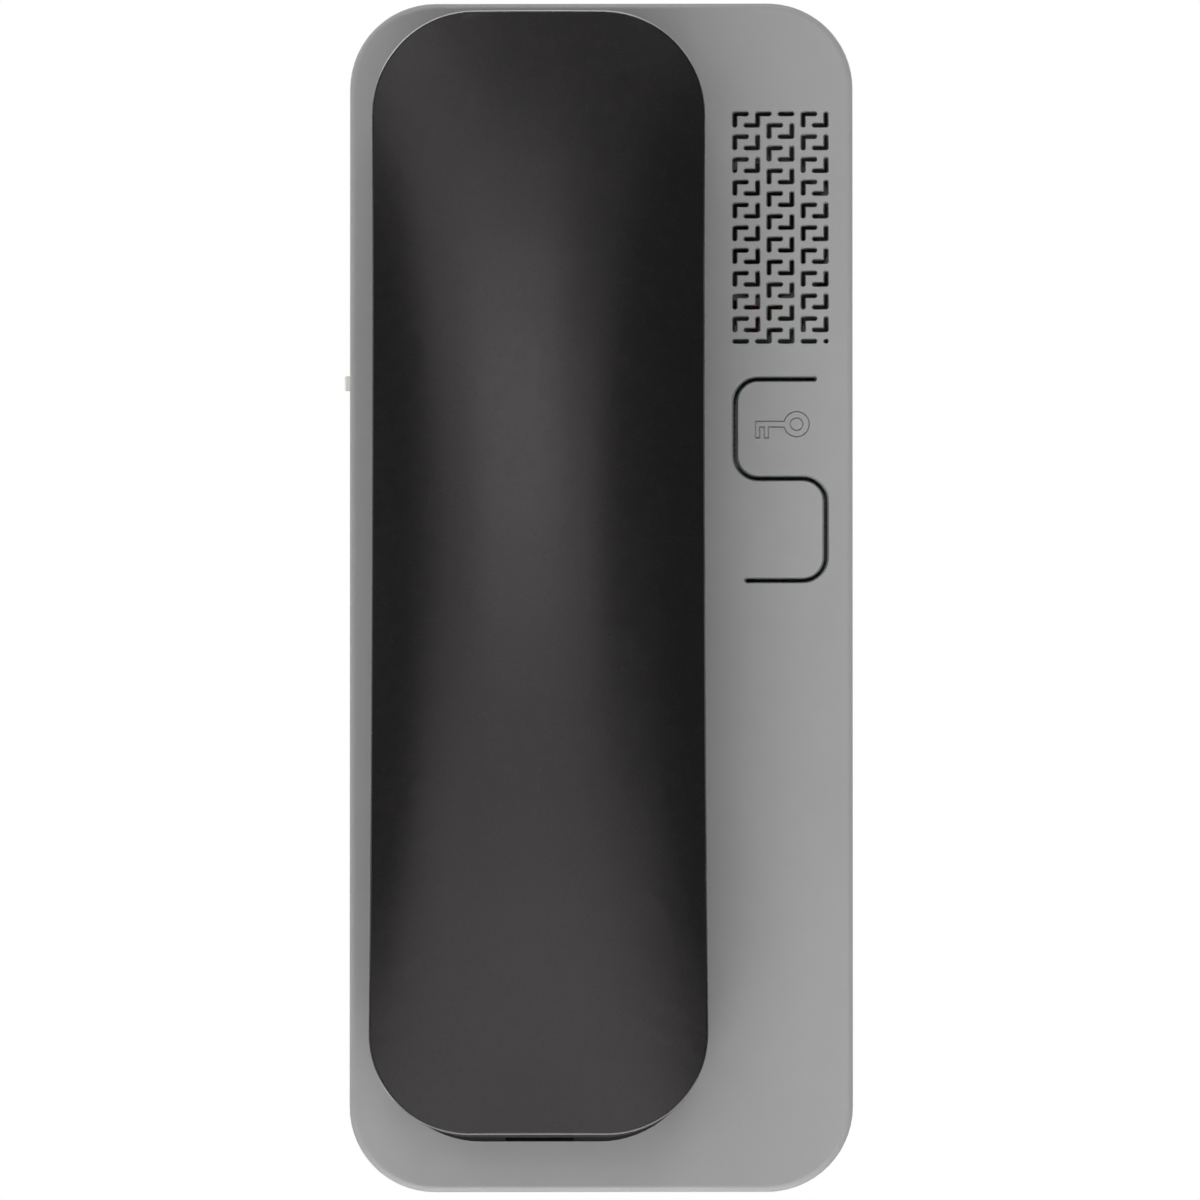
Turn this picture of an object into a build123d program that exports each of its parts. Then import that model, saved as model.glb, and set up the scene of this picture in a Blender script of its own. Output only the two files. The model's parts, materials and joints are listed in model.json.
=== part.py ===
from build123d import *
import os
from math import atan, cos, degrees, radians, sin, tan

# Audio intercom handset: a wall-hung base with two flexing keys, a sounder grille and a
# cradle, and a handset that rests in the cradle. All sizes are millimetres. X runs to the
# right as the user faces the wall and Z runs up. The wall is the plane y = 0 and every
# depth below is counted from the wall towards the user, which is along -Y.

# Clearances and small cuts that many pieces share
overrun = 1.0
running_gap = 0.08
seat_gap = 0.05
loose_gap = 0.3
slide_gap = 0.3

# Base case
case_width = 82.0
case_height = 194.0
case_depth = 16.0
case_corner = 14.0
case_draft = 1.2
case_edge_radius = 1.0
case_wall = 2.0
front_wall = 2.0
rim_gap = 0.3

# Back plate, screwed to the wall through two upright slots
plate_thickness = 2.0
wall_slot_inset = 39.5
wall_slot_width = 4.5
wall_slot_length = 9.0
cable_entry_width = 22.0
cable_entry_height = 12.0
cable_entry_corner = 3.0
cable_entry_inset = 17.0
cable_entry_z = -36.0
hook_inset = 19.0
hook_width = 8.0
hook_thickness = 1.5
hook_depth = 4.0
hook_bite = 0.8
hook_root = 2.0

# Circuit board and its posts
board_side_gap = 4.5
board_bottom = -22.0
board_below_sounder = 14.9
board_corner = 2.0
board_thickness = 1.6
post_height = 3.0
post_radius = 3.0
post_inset_x = 12.0
post_inset_z = 5.0
board_screw_radius = 1.0
board_screw_length = 5.5
board_screw_head_radius = 2.0
board_screw_head_height = 1.3

# Cut that frees the two keys: an S of one width, with bevelled lips, below the fret
slit_width = 0.52
lip_bevel = 0.3
lip_depth = 0.9
slit_inset = 4.46
slit_span = 14.78
slit_below_fret = 6.16
open_key_height = 16.21
service_key_height = 16.64
slit_bend = 3.8
open_root_inset = 1.93
service_root_inset = 2.05

# Key tongues
root_thickness = 0.9
root_groove_width = 1.4
key_corner_radius = 0.3
rib_reach = 8.5
rib_thickness = 2.4
rib_length = 8.0
rib_gap = 0.3

# Key picture engraved in the opening key
picture_line = 0.24
picture_depth = 0.25
picture_ring_inset = 2.8
picture_ring_drop = 7.4
picture_ring_radius = 2.05
picture_eye_radius = 1.01
picture_shaft_reach = 6.68
picture_shaft_height = 0.94
picture_tooth_width = 0.66
picture_tooth_pitch = 1.43
picture_tooth_drop = 2.24

# Sounder grille, a fret of hooked cuts on a square lattice
fret_pitch = 1.857
fret_side_inset = 19.25
fret_top_inset = 18.17
fret_bar = 0.56
fret_bevel = 0.19
fret_bevel_depth = 0.9
fret_columns = 3
fret_rows = 10
fret_column_step = 3
fret_row_step = 2

# Push switches under the keys
key_switch_size = 6.0
key_switch_height = 3.5
key_stem_radius = 1.75
key_stem_rise = 0.8
key_stem_length = 1.6
key_stem_travel = 0.4

# Handset outline, set in the case beside the column of keys
handset_side_margin = 3.9
key_column_width = 23.6
handset_top_margin = 3.1
handset_foot_margin = 8.2
waist_pinch = 0.4
foot_flare = 1.2
handset_corner = 16.6
side_draft = 1.4
handset_wall = 2.0
rim_radius = 0.5

# Handset depths
seat_depth = 17.0
grip_depth = 26.5
parting_depth = 29.0
rim_depth = 35.4
crest_depth = 43.6
crest_fall = 6.4
flank_depth = 34.0
crown_sections = 7
grip_below_plunger = 4.5
grip_above_mouth = 27.0
grip_ramp = 12.0
grip_bend = 6.0
joint_groove_height = 0.5
joint_groove_depth = 0.4

# Cradle: slanted pockets in the cover and bosses on the handset that lift out of them
lift_angle = 25.0
pocket_floor_depth = 11.0
pocket_wall = 1.8
boss_wall = 1.8
boss_gap = 0.4
ear_pocket_drop = 25.9
ear_pocket_margin = 7.9
ear_pocket_height = 38.0
ear_pocket_round = 14.0
mouth_pocket_rise = 30.4
mouth_pocket_margin = 10.4
mouth_pocket_height = 28.0
mouth_pocket_round = 9.0

# Cradle switch
plunger_drop = 28.5
plunger_radius = 2.5
plunger_flange_radius = 3.6
plunger_flange_thickness = 1.0
plunger_tip_radius = 0.5
plunger_guide_wall = 1.4
plunger_guide_height = 0.8
hook_switch_size = 7.5
hook_switch_height = 2.8
hook_stem_radius = 1.5
hook_stem_rise = 0.8
hook_stem_length = 3.2

# Sounder behind the grille
sounder_side_inset = 14.5
sounder_top_inset = 37.1
sounder_radius = 11.0
sounder_rim_thickness = 0.8
sounder_rim_width = 1.6
sounder_skin = 0.8
sounder_cup_radius = 6.5
sounder_cup_depth = 3.2
sounder_magnet_radius = 6.0
sounder_magnet_height = 4.0
sounder_seal_thickness = 0.6
sounder_seat_wall = 1.2
sounder_seat_height = 1.8
cone_thickness = 0.3
cone_dome_radius = 4.0

# Earpiece in the handset's upper end
earpiece_margin = 5.0
earpiece_rim_thickness = 1.0
earpiece_rim_width = 2.0
earpiece_skin = 0.9
earpiece_cup_share = 4 / 7
earpiece_cup_depth = 4.2
earpiece_magnet_share = 0.9
earpiece_magnet_height = 3.5
earpiece_seal_thickness = 0.6
collar_wall = 1.2
earpiece_collar_height = 7.4
retainer_thickness = 1.2
retainer_reach = 1.2
sound_hole_radius = 0.9
sound_hole_circle_share = 3 / 7
sound_hole_count = 6

# Microphone in the handset's lower end
microphone_radius = 4.85
microphone_length = 5.0
microphone_shift = -3.0
boot_wall = 1.2
boot_floor = 0.8
microphone_port_radius = 1.2

# Cord sockets, the same four-way socket in the base and in the handset
socket_width = 11.0
socket_height = 9.0
socket_length = 12.0
socket_mouth_width = 7.8
socket_mouth_height = 6.6
socket_mouth_length = 9.0
socket_contact_count = 4
socket_contact_pitch = 1.25
socket_contact_width = 0.45
socket_contact_rise = 1.6
socket_contact_length = 6.5
base_socket_depth = 3.0
cradle_rib_wall = 1.5

# Screws of the handset and of the case
handset_screw_drop = 20.0
handset_screw_rise = 19.0
handset_screw_radius = 1.3
handset_screw_length = 9.0
handset_screw_head_radius = 2.6
handset_screw_head_height = 1.6
screw_boss_wall = 1.7
case_screw_inset = 21.0
case_screw_depth = 6.5
case_screw_radius = 1.4
case_screw_length = 9.5
case_screw_head_radius = 2.5
case_screw_head_height = 1.0
case_boss_width = 8.0
case_boss_length = 9.0
case_boss_top_depth = 11.0
drive_slot_width = 0.7
drive_depth_share = 0.5

# Line terminal and its screws
terminal_ways = 4
terminal_pitch = 5.0
terminal_length = 9.0
terminal_height = 6.4
terminal_from_post = 14.5
terminal_inset_z = 1.0
terminal_wire_hole = 3.0
terminal_wire_hole_length = 6.0
terminal_screw_radius = 1.5
terminal_screw_length = 3.0

# Volume slide switch at the left edge
volume_below_board_top = 9.6
volume_body_length = 10.0
volume_body_width = 4.6
volume_body_height = 3.6
volume_body_inset = 4.7
volume_travel = 2.0
volume_knob_length = 2.3
volume_knob_height = 2.2
volume_knob_lift = 0.7
volume_knob_proud = 0.9
volume_knob_inset = 7.4

# Other parts on the circuit board
capacitor_radius = 3.2
capacitor_length = 8.0
capacitor_from_terminal = 14.0
capacitor_rise = 10.0
capacitor_lip = 0.3
chip_length = 9.9
chip_width = 3.9
chip_height = 1.5
chip_stand_off = 0.2
chip_from_terminal = 4.0
chip_rise = 32.0
chip_leg_count = 7
chip_leg_pitch = 1.27
chip_leg_width = 0.4
chip_leg_reach = 1.0
resistor_count = 6
resistor_length = 3.2
resistor_width = 1.6
resistor_height = 0.7
resistor_from_capacitor = 4.0
resistor_rise = 24.0
resistor_pitch = 3.4

# Wires
wire_radius = 0.5
wire_pitch = 1.6
wire_bend = 1.0
wire_inset = 2.0
lead_bend = 3.0
jack_lead_from_terminal = 18.0
jack_lead_start_shift = 3.0
handset_lead_shift = 8.0
handset_lead_depth = 31.5
handset_lead_start_depth = 24.0

# Places that follow from the sizes above: first what hangs on the case's right side and top
case_right = case_width / 2
case_top = case_height / 2
fret_left = case_right - fret_side_inset
fret_top = case_top - fret_top_inset
fret_bottom = fret_top - fret_pitch * fret_row_step * fret_rows
sounder_x = case_right - sounder_side_inset
sounder_z = case_top - sounder_top_inset
slit_right = case_right - slit_inset
slit_left = slit_right - slit_span
slit_top = fret_bottom - slit_below_fret
slit_middle = slit_top - open_key_height
slit_bottom = slit_middle - service_key_height
open_root_x = slit_right - open_root_inset
service_root_x = slit_left + service_root_inset
picture_ring_x = open_root_x - picture_ring_inset
picture_ring_z = slit_top - picture_ring_drop
picture_shaft_end = picture_ring_x - picture_shaft_reach
hook_spread = case_width - 2 * hook_inset
wall_slot_spacing = case_height - 2 * wall_slot_inset
cable_entry_x = cable_entry_inset - case_right
case_screw_x = case_right - case_screw_inset

# The handset and its cradle
handset_top_width = case_width - handset_side_margin - key_column_width
handset_waist_width = handset_top_width - waist_pinch
handset_foot_width = handset_top_width + foot_flare
handset_x = handset_side_margin + handset_top_width / 2 - case_right
handset_top = case_top - handset_top_margin
handset_foot = handset_foot_margin - case_top
ear_pocket_z = handset_top - ear_pocket_drop
ear_pocket_width = handset_top_width - 2 * ear_pocket_margin
ear_pocket_corner = min(ear_pocket_round, min(ear_pocket_width, ear_pocket_height) / 2 - running_gap)
mouth_pocket_z = handset_foot + mouth_pocket_rise
mouth_pocket_width = handset_foot_width - 2 * mouth_pocket_margin
mouth_pocket_corner = min(
    mouth_pocket_round, min(mouth_pocket_width, mouth_pocket_height) / 2 - running_gap
)
plunger_z = ear_pocket_z - plunger_drop
grip_top = plunger_z - grip_below_plunger
grip_bottom = mouth_pocket_z + grip_above_mouth
handset_screw_top_z = grip_top - handset_screw_drop
handset_screw_bottom_z = grip_bottom + handset_screw_rise
earpiece_radius = min(ear_pocket_width, ear_pocket_height) / 2 - earpiece_margin
earpiece_cup_radius = earpiece_radius * earpiece_cup_share
earpiece_magnet_radius = earpiece_cup_radius * earpiece_magnet_share
retainer_opening = earpiece_cup_radius + retainer_reach
sound_hole_circle = earpiece_radius * sound_hole_circle_share
handset_lead_x = handset_x - handset_lead_shift
jack_lead_start_x = handset_x + jack_lead_start_shift

# The board and what stands on it
board_width = case_width - 2 * board_side_gap
board_top = sounder_z - board_below_sounder
post_x = board_width / 2 - post_inset_x
terminal_x = terminal_from_post - post_x
terminal_bottom = board_bottom + terminal_inset_z
capacitor_x = terminal_x + capacitor_from_terminal
capacitor_z = board_bottom + capacitor_rise
chip_x = terminal_x + chip_from_terminal
chip_z = board_bottom + chip_rise
resistor_x = capacitor_x + resistor_from_capacitor
resistor_z = board_bottom + resistor_rise
jack_lead_x = terminal_x + jack_lead_from_terminal
volume_z = board_top - volume_below_board_top
volume_body_left = volume_body_inset - case_right
volume_knob_root = volume_knob_inset - case_right

# Depths and slopes
climb = tan(radians(lift_angle))
lift_direction = Vector(0, -cos(radians(lift_angle)), sin(radians(lift_angle)))
board_back = plate_thickness + post_height
board_front = board_back + board_thickness
front_back = case_depth - front_wall
lip_taper = degrees(atan(lip_bevel / lip_depth))
fret_taper = degrees(atan(fret_bevel / fret_bevel_depth))
key_stem_top = board_front + key_switch_height + key_stem_rise
hook_stem_top = board_front + hook_switch_height + hook_stem_rise
widest_handset = max(handset_top_width, handset_waist_width, handset_foot_width)
crown_half_width = widest_handset / 2 + 2 * overrun
handset_middle = (handset_top + handset_foot) / 2
handset_half_length = (handset_top - handset_foot) / 2
boss_face = pocket_floor_depth + boss_gap
boss_floor = boss_face + boss_wall
mouth_floor_z = mouth_pocket_z + microphone_shift
handset_socket_depth = seat_depth + handset_wall


def facing(depth):
    """Sketch plane parallel to the wall at a depth, seen from the user's side."""
    return Plane.XZ.offset(depth)


def turned(x, z):
    """Sketch plane through a line square to the wall, holding radius and depth."""
    return Plane(origin=(x, 0, z), x_dir=(1, 0, 0), z_dir=(0, 0, -1))


def square_to_wall(x, z):
    """Axis square to the wall through a place."""
    return Axis((x, 0, z), (0, 1, 0))


def case_step(depth, inward):
    """How far a line moved inward from the drafted case lies inside its front outline."""
    return case_draft * (case_depth - depth) / case_depth + inward


def case_block(near, far, inward):
    """Solid of the drafted case between two depths, moved inward from its outer skin."""
    with BuildPart() as block:
        for depth in (near, far):
            step = case_step(depth, inward)
            with BuildSketch(facing(depth)):
                RectangleRounded(case_width - 2 * step, case_height - 2 * step, case_corner - step)
        loft(ruled=True)
    return block.part


def handset_section(depth, inward):
    """Outline of the handset at a depth: bowed sides, drafted towards the wall."""
    lean = side_draft * (rim_depth - depth) / (rim_depth - seat_depth) + inward
    top = handset_top - lean
    foot = handset_foot + inward
    top_half = handset_top_width / 2 - lean
    waist_half = handset_waist_width / 2 - lean
    foot_half = handset_foot_width / 2 - lean
    middle = (top + foot) / 2
    with BuildSketch(facing(depth)) as section:
        with BuildLine():
            ThreePointArc(
                (handset_x - top_half, top),
                (handset_x - waist_half, middle),
                (handset_x - foot_half, foot),
            )
            Line((handset_x - foot_half, foot), (handset_x + foot_half, foot))
            ThreePointArc(
                (handset_x + foot_half, foot),
                (handset_x + waist_half, middle),
                (handset_x + top_half, top),
            )
            Line((handset_x + top_half, top), (handset_x - top_half, top))
        make_face()
        fillet(section.vertices(), handset_corner - inward)
    return section.sketch


def handset_block(near, far, inward):
    """Drafted prism of the handset's outline between two depths."""
    sections = [handset_section(near, inward), handset_section(far, inward)]
    with BuildPart() as block:
        loft(sections, ruled=True)
    return block.part


def crown_block(sink):
    """Everything behind the handset's crowned face, sunk by a wall for the hollow."""
    left = handset_x - crown_half_width
    right = handset_x + crown_half_width
    reach = handset_half_length + overrun
    with BuildPart() as block:
        for number in range(crown_sections):
            share = 2 * number / (crown_sections - 1) - 1
            crest = crest_depth - crest_fall * share**2 - sink
            flank = flank_depth - sink
            with BuildSketch(Plane.XY.offset(handset_middle + share * reach)):
                with BuildLine():
                    ThreePointArc((left, -flank), (handset_x, -crest), (right, -flank))
                    Polyline((right, -flank), (right, 0), (left, 0), (left, -flank))
                make_face()
        loft()
    return block.part


def rear_block(inward):
    """Everything in front of the handset's rear skin, which arches over the grip."""
    low = handset_foot - case_depth
    high = handset_top + case_depth
    far = crest_depth + case_depth
    left = handset_x - crown_half_width
    with BuildPart() as block:
        with BuildSketch(Plane.YZ.offset(left)) as profile:
            with BuildLine():
                FilletPolyline(
                    (-seat_depth, high),
                    (-seat_depth, grip_top),
                    (-grip_depth, grip_top - grip_ramp),
                    (-grip_depth, grip_bottom + grip_ramp),
                    (-seat_depth, grip_bottom),
                    (-seat_depth, low),
                    radius=grip_bend,
                )
                Polyline((-seat_depth, low), (-far, low), (-far, high), (-seat_depth, high))
            make_face()
            if inward:
                offset(profile.sketch_local, amount=-inward, kind=Kind.INTERSECTION, mode=Mode.REPLACE)
        extrude(amount=2 * crown_half_width)
    return block.part


def slanted_block(width, height, corner, middle, near, far):
    """Rounded block that leans along the lift line and crosses the cover's face at a height."""
    with BuildPart() as block:
        with BuildSketch(facing(near)):
            with Locations((handset_x, middle + (near - case_depth) * climb)):
                RectangleRounded(width, height, corner)
        extrude(amount=(far - near) / cos(radians(lift_angle)), dir=lift_direction)
    return block.part


def pocket_block(pocket, grow, near, far):
    """Slanted block of one cradle pocket, grown or shrunk all round."""
    width, height, corner, middle = pocket
    return slanted_block(width + 2 * grow, height + 2 * grow, corner + grow, middle, near, far)


def screw_at(plane, shank_radius, length, head_radius, head_height):
    """Pan-head screw whose head's underside lies on the plane and whose shank runs against it."""
    with BuildPart() as screw:
        with BuildSketch(plane):
            Circle(head_radius)
        extrude(amount=head_height)
        with BuildSketch(plane):
            Circle(shank_radius)
        extrude(amount=-length)
        with BuildSketch(plane.offset(head_height)):
            Rectangle(2 * head_radius * drive_depth_share, drive_slot_width)
            Rectangle(drive_slot_width, 2 * head_radius * drive_depth_share)
        extrude(amount=-head_height * drive_depth_share, mode=Mode.SUBTRACT)
    return screw.part


def wire_along(points, bend):
    """Round wire through points, with bends of one radius."""
    with BuildPart() as wire:
        with BuildLine() as route:
            FilletPolyline(*points, radius=bend)
        with BuildSketch(Plane(origin=route.line @ 0, z_dir=route.line % 0)):
            Circle(wire_radius)
        sweep(path=route.line)
    return wire.part


def cord_socket(plane_of_mouth, mouth_back):
    """Socket body whose mouth faces down, from a plane across its mouth and its rear depth."""
    with BuildPart() as body:
        with BuildSketch(plane_of_mouth):
            with Locations((handset_x, -mouth_back - socket_height / 2)):
                Rectangle(socket_width, socket_height)
        extrude(amount=socket_length)
        with BuildSketch(plane_of_mouth):
            with Locations((handset_x, -mouth_back - socket_height / 2)):
                Rectangle(socket_mouth_width, socket_mouth_height)
        extrude(amount=socket_mouth_length, mode=Mode.SUBTRACT)
    return body.part


def socket_contacts(mouth_z, mouth_back):
    """Bent spring contacts that stand on the socket's rear wall inside its mouth."""
    back = mouth_back + (socket_height - socket_mouth_height) / 2
    start = mouth_z + socket_mouth_length
    knee = start - socket_contact_length / 2
    with BuildPart() as contacts:
        for number in range(socket_contact_count):
            shift = (number - (socket_contact_count - 1) / 2) * socket_contact_pitch
            side = handset_x + shift - socket_contact_width / 2
            with BuildSketch(Plane.YZ.offset(side)):
                with BuildLine():
                    Polyline(
                        (-back, start),
                        (-back - socket_contact_width, start),
                        (-back - socket_contact_rise, knee),
                        (-back - socket_contact_width, start - socket_contact_length),
                        (-back, start - socket_contact_length),
                        (socket_contact_width - back - socket_contact_rise, knee),
                        (-back, start),
                    )
                make_face()
            extrude(amount=socket_contact_width)
    return contacts.part


ear_pocket = (ear_pocket_width, ear_pocket_height, ear_pocket_corner, ear_pocket_z)
mouth_pocket = (mouth_pocket_width, mouth_pocket_height, mouth_pocket_corner, mouth_pocket_z)
pockets = (ear_pocket, mouth_pocket)

# The S cut, the two tongues it frees, and the fret, all drawn in X and Z
with BuildSketch() as slit_shape:
    with BuildLine():
        FilletPolyline(
            (open_root_x, slit_top),
            (slit_left, slit_top),
            (slit_left, slit_middle),
            (slit_right, slit_middle),
            (slit_right, slit_bottom),
            (service_root_x, slit_bottom),
            radius=slit_bend,
        )
        offset(amount=slit_width / 2, side=Side.BOTH)
    make_face()

with BuildSketch() as slit_lip_shape:
    with BuildLine():
        FilletPolyline(
            (open_root_x, slit_top),
            (slit_left, slit_top),
            (slit_left, slit_middle),
            (slit_right, slit_middle),
            (slit_right, slit_bottom),
            (service_root_x, slit_bottom),
            radius=slit_bend,
        )
        offset(amount=slit_width / 2 + lip_bevel, side=Side.BOTH)
    make_face()

with BuildSketch() as open_window:
    with Locations(((slit_left + open_root_x) / 2, (slit_top + slit_middle - slit_bend) / 2)):
        Rectangle(open_root_x - slit_left, slit_top - slit_middle + slit_bend)
    add(slit_shape.sketch, mode=Mode.SUBTRACT)
open_outline = open_window.faces().sort_by(SortBy.AREA)[-1]

with BuildSketch() as service_window:
    with Locations(((slit_right + service_root_x) / 2, (slit_middle + slit_bend + slit_bottom) / 2)):
        Rectangle(slit_right - service_root_x, slit_middle + slit_bend - slit_bottom)
    add(slit_shape.sketch, mode=Mode.SUBTRACT)
service_outline = service_window.faces().sort_by(SortBy.AREA)[-1]

# Hooked cuts: a corner of each on a lattice crossing, with one bar across and one down
half_share = 0.5
bars_across = []
bars_down = []
for column in range(fret_columns):
    shift = column % 2
    for row in range(fret_rows):
        left_corner = (fret_column_step * column, fret_row_step * row + shift)
        right_corner = (fret_column_step * column + 2, fret_row_step * row + 1 + shift)
        bars_across.append((left_corner[0] + half_share, left_corner[1]))
        bars_down.append((left_corner[0], left_corner[1] + half_share))
        bars_across.append((right_corner[0] - half_share, right_corner[1]))
        bars_down.append((right_corner[0], right_corner[1] - half_share))
fret_last_row = fret_row_step * fret_rows
bars_across += [(cell + half_share, 0) for cell in (2, 4)]
bars_across += [(cell + half_share, fret_last_row) for cell in (0, 2, 6)]
fret_dot = (fret_column_step * fret_columns - 1, fret_last_row)


def fret_places(cells):
    """Places of lattice cells in X and Z."""
    return [(fret_left + fret_pitch * cell[0], fret_top - fret_pitch * cell[1]) for cell in cells]


def fret_sketch(bar):
    """All the cuts of the grille, with rounded bars of one width."""
    with BuildSketch() as fret:
        with Locations(*fret_places(bars_across)):
            SlotCenterToCenter(fret_pitch, bar)
        with Locations(*fret_places(bars_down)):
            SlotCenterToCenter(fret_pitch, bar, rotation=90)
        with Locations(*fret_places([fret_dot])):
            Circle(bar / 2)
    return fret.sketch


fret_cut = fret_sketch(fret_bar)
fret_mouth = fret_sketch(fret_bar + 2 * fret_bevel)
with BuildPart() as fret_tool:
    with BuildSketch(facing(front_back - overrun)):
        add(fret_cut)
    extrude(amount=front_wall + 2 * overrun, clean=False)
    with BuildSketch(facing(case_depth)):
        add(fret_mouth)
    extrude(amount=-fret_bevel_depth, taper=fret_taper, clean=False)

# Front cover: drafted shell with the cradle pockets, the grille and the key openings
cover_skin = case_block(rim_gap, case_depth, 0)
cover_hollow = case_block(rim_gap, front_back, case_wall)
pocket_cups = [
    pocket_block(pocket, pocket_wall, pocket_floor_depth - pocket_wall, front_back + overrun / 2)
    for pocket in pockets
]
pocket_cuts = [pocket_block(pocket, 0, pocket_floor_depth, case_depth + overrun) for pocket in pockets]
seat_hollow_radius = sounder_radius + seat_gap

with BuildPart() as front_cover:
    add(cover_skin)
    front_face = front_cover.faces().sort_by(Axis.Y)[0]
    fillet(front_face.edges(), radius=case_edge_radius)
    add(cover_hollow, mode=Mode.SUBTRACT)
    for cup in pocket_cups:
        add(cup)
    for cut in pocket_cuts:
        add(cut, mode=Mode.SUBTRACT)
    # Ring that seats the sounder behind the grille
    with BuildSketch(facing(front_back)):
        with Locations((sounder_x, sounder_z)):
            Circle(seat_hollow_radius + sounder_seat_wall)
            Circle(seat_hollow_radius, mode=Mode.SUBTRACT)
    extrude(amount=-sounder_seat_height)
    # Guide collar and hole of the cradle plunger
    with BuildSketch(facing(front_back)):
        with Locations((handset_x, plunger_z)):
            Circle(plunger_radius + running_gap + plunger_guide_wall)
    extrude(amount=-plunger_guide_height)
    with BuildSketch(facing(front_back - plunger_guide_height)):
        with Locations((handset_x, plunger_z)):
            Circle(plunger_radius + running_gap)
    extrude(amount=front_wall + plunger_guide_height + overrun, mode=Mode.SUBTRACT)
    # Openings of the two keys, with the bevelled lips of the cut between them
    with BuildSketch(facing(front_back - overrun)):
        add(slit_shape.sketch)
        add(open_outline)
        add(service_outline)
    extrude(amount=front_wall + 2 * overrun, mode=Mode.SUBTRACT)
    with BuildSketch(facing(case_depth)):
        add(slit_lip_shape.sketch)
    extrude(amount=-lip_depth, taper=lip_taper, mode=Mode.SUBTRACT)
    # Slot of the volume knob in the left wall
    volume_low = board_front + volume_knob_lift - slide_gap
    with BuildSketch(facing(volume_low)):
        with Locations((-case_width / 2, volume_z)):
            Rectangle(4 * case_wall, volume_knob_length + 2 * volume_travel + 2 * slide_gap)
    extrude(amount=volume_knob_height + 2 * slide_gap, mode=Mode.SUBTRACT)
    # Window of the cord socket in the bottom wall
    with BuildSketch(facing(base_socket_depth - loose_gap)):
        with Locations((handset_x, -case_height / 2)):
            Rectangle(socket_width + 2 * loose_gap, 4 * case_wall)
    extrude(amount=socket_height + 2 * loose_gap, mode=Mode.SUBTRACT)
    # Recesses of the two top hooks
    hook_top = case_height / 2 - case_step(hook_depth, case_wall) + hook_bite
    with BuildSketch(facing(hook_depth - loose_gap)):
        with Locations((-hook_spread / 2, hook_top - hook_bite), (hook_spread / 2, hook_top - hook_bite)):
            Rectangle(hook_width + 2 * loose_gap, 2 * hook_bite + 2 * loose_gap)
    extrude(amount=hook_thickness + 2 * loose_gap, mode=Mode.SUBTRACT)
    # Counterbored hole of the case screw
    screw_wall_z = -case_height / 2 + case_step(case_screw_depth, 0)
    with BuildSketch(Plane.XY.offset(screw_wall_z - overrun)):
        with Locations((case_screw_x, -case_screw_depth)):
            Circle(case_screw_radius + loose_gap)
    extrude(amount=case_wall + 2 * overrun, mode=Mode.SUBTRACT)
    with BuildSketch(Plane.XY.offset(screw_wall_z - overrun)):
        with Locations((case_screw_x, -case_screw_depth)):
            Circle(case_screw_head_radius + loose_gap)
    extrude(amount=overrun + case_screw_head_height, mode=Mode.SUBTRACT)
    # Grille
    add(fret_tool.part, clean=False, mode=Mode.SUBTRACT)
front_cover.part.label = "front_cover"

# Back plate: flat against the wall, with board posts, hooks, the screw boss and the socket ribs
plate_step = case_step(plate_thickness, case_wall) + case_draft * plate_thickness / case_depth + loose_gap
post_places = [
    (side * post_x, height)
    for side in (-1, 1)
    for height in (board_bottom + post_inset_z, board_top - post_inset_z)
]
socket_mouth_z = -case_height / 2 + case_step(base_socket_depth, case_wall) + loose_gap
case_boss_bottom = -case_height / 2 + case_step(plate_thickness, case_wall) + loose_gap

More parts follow.
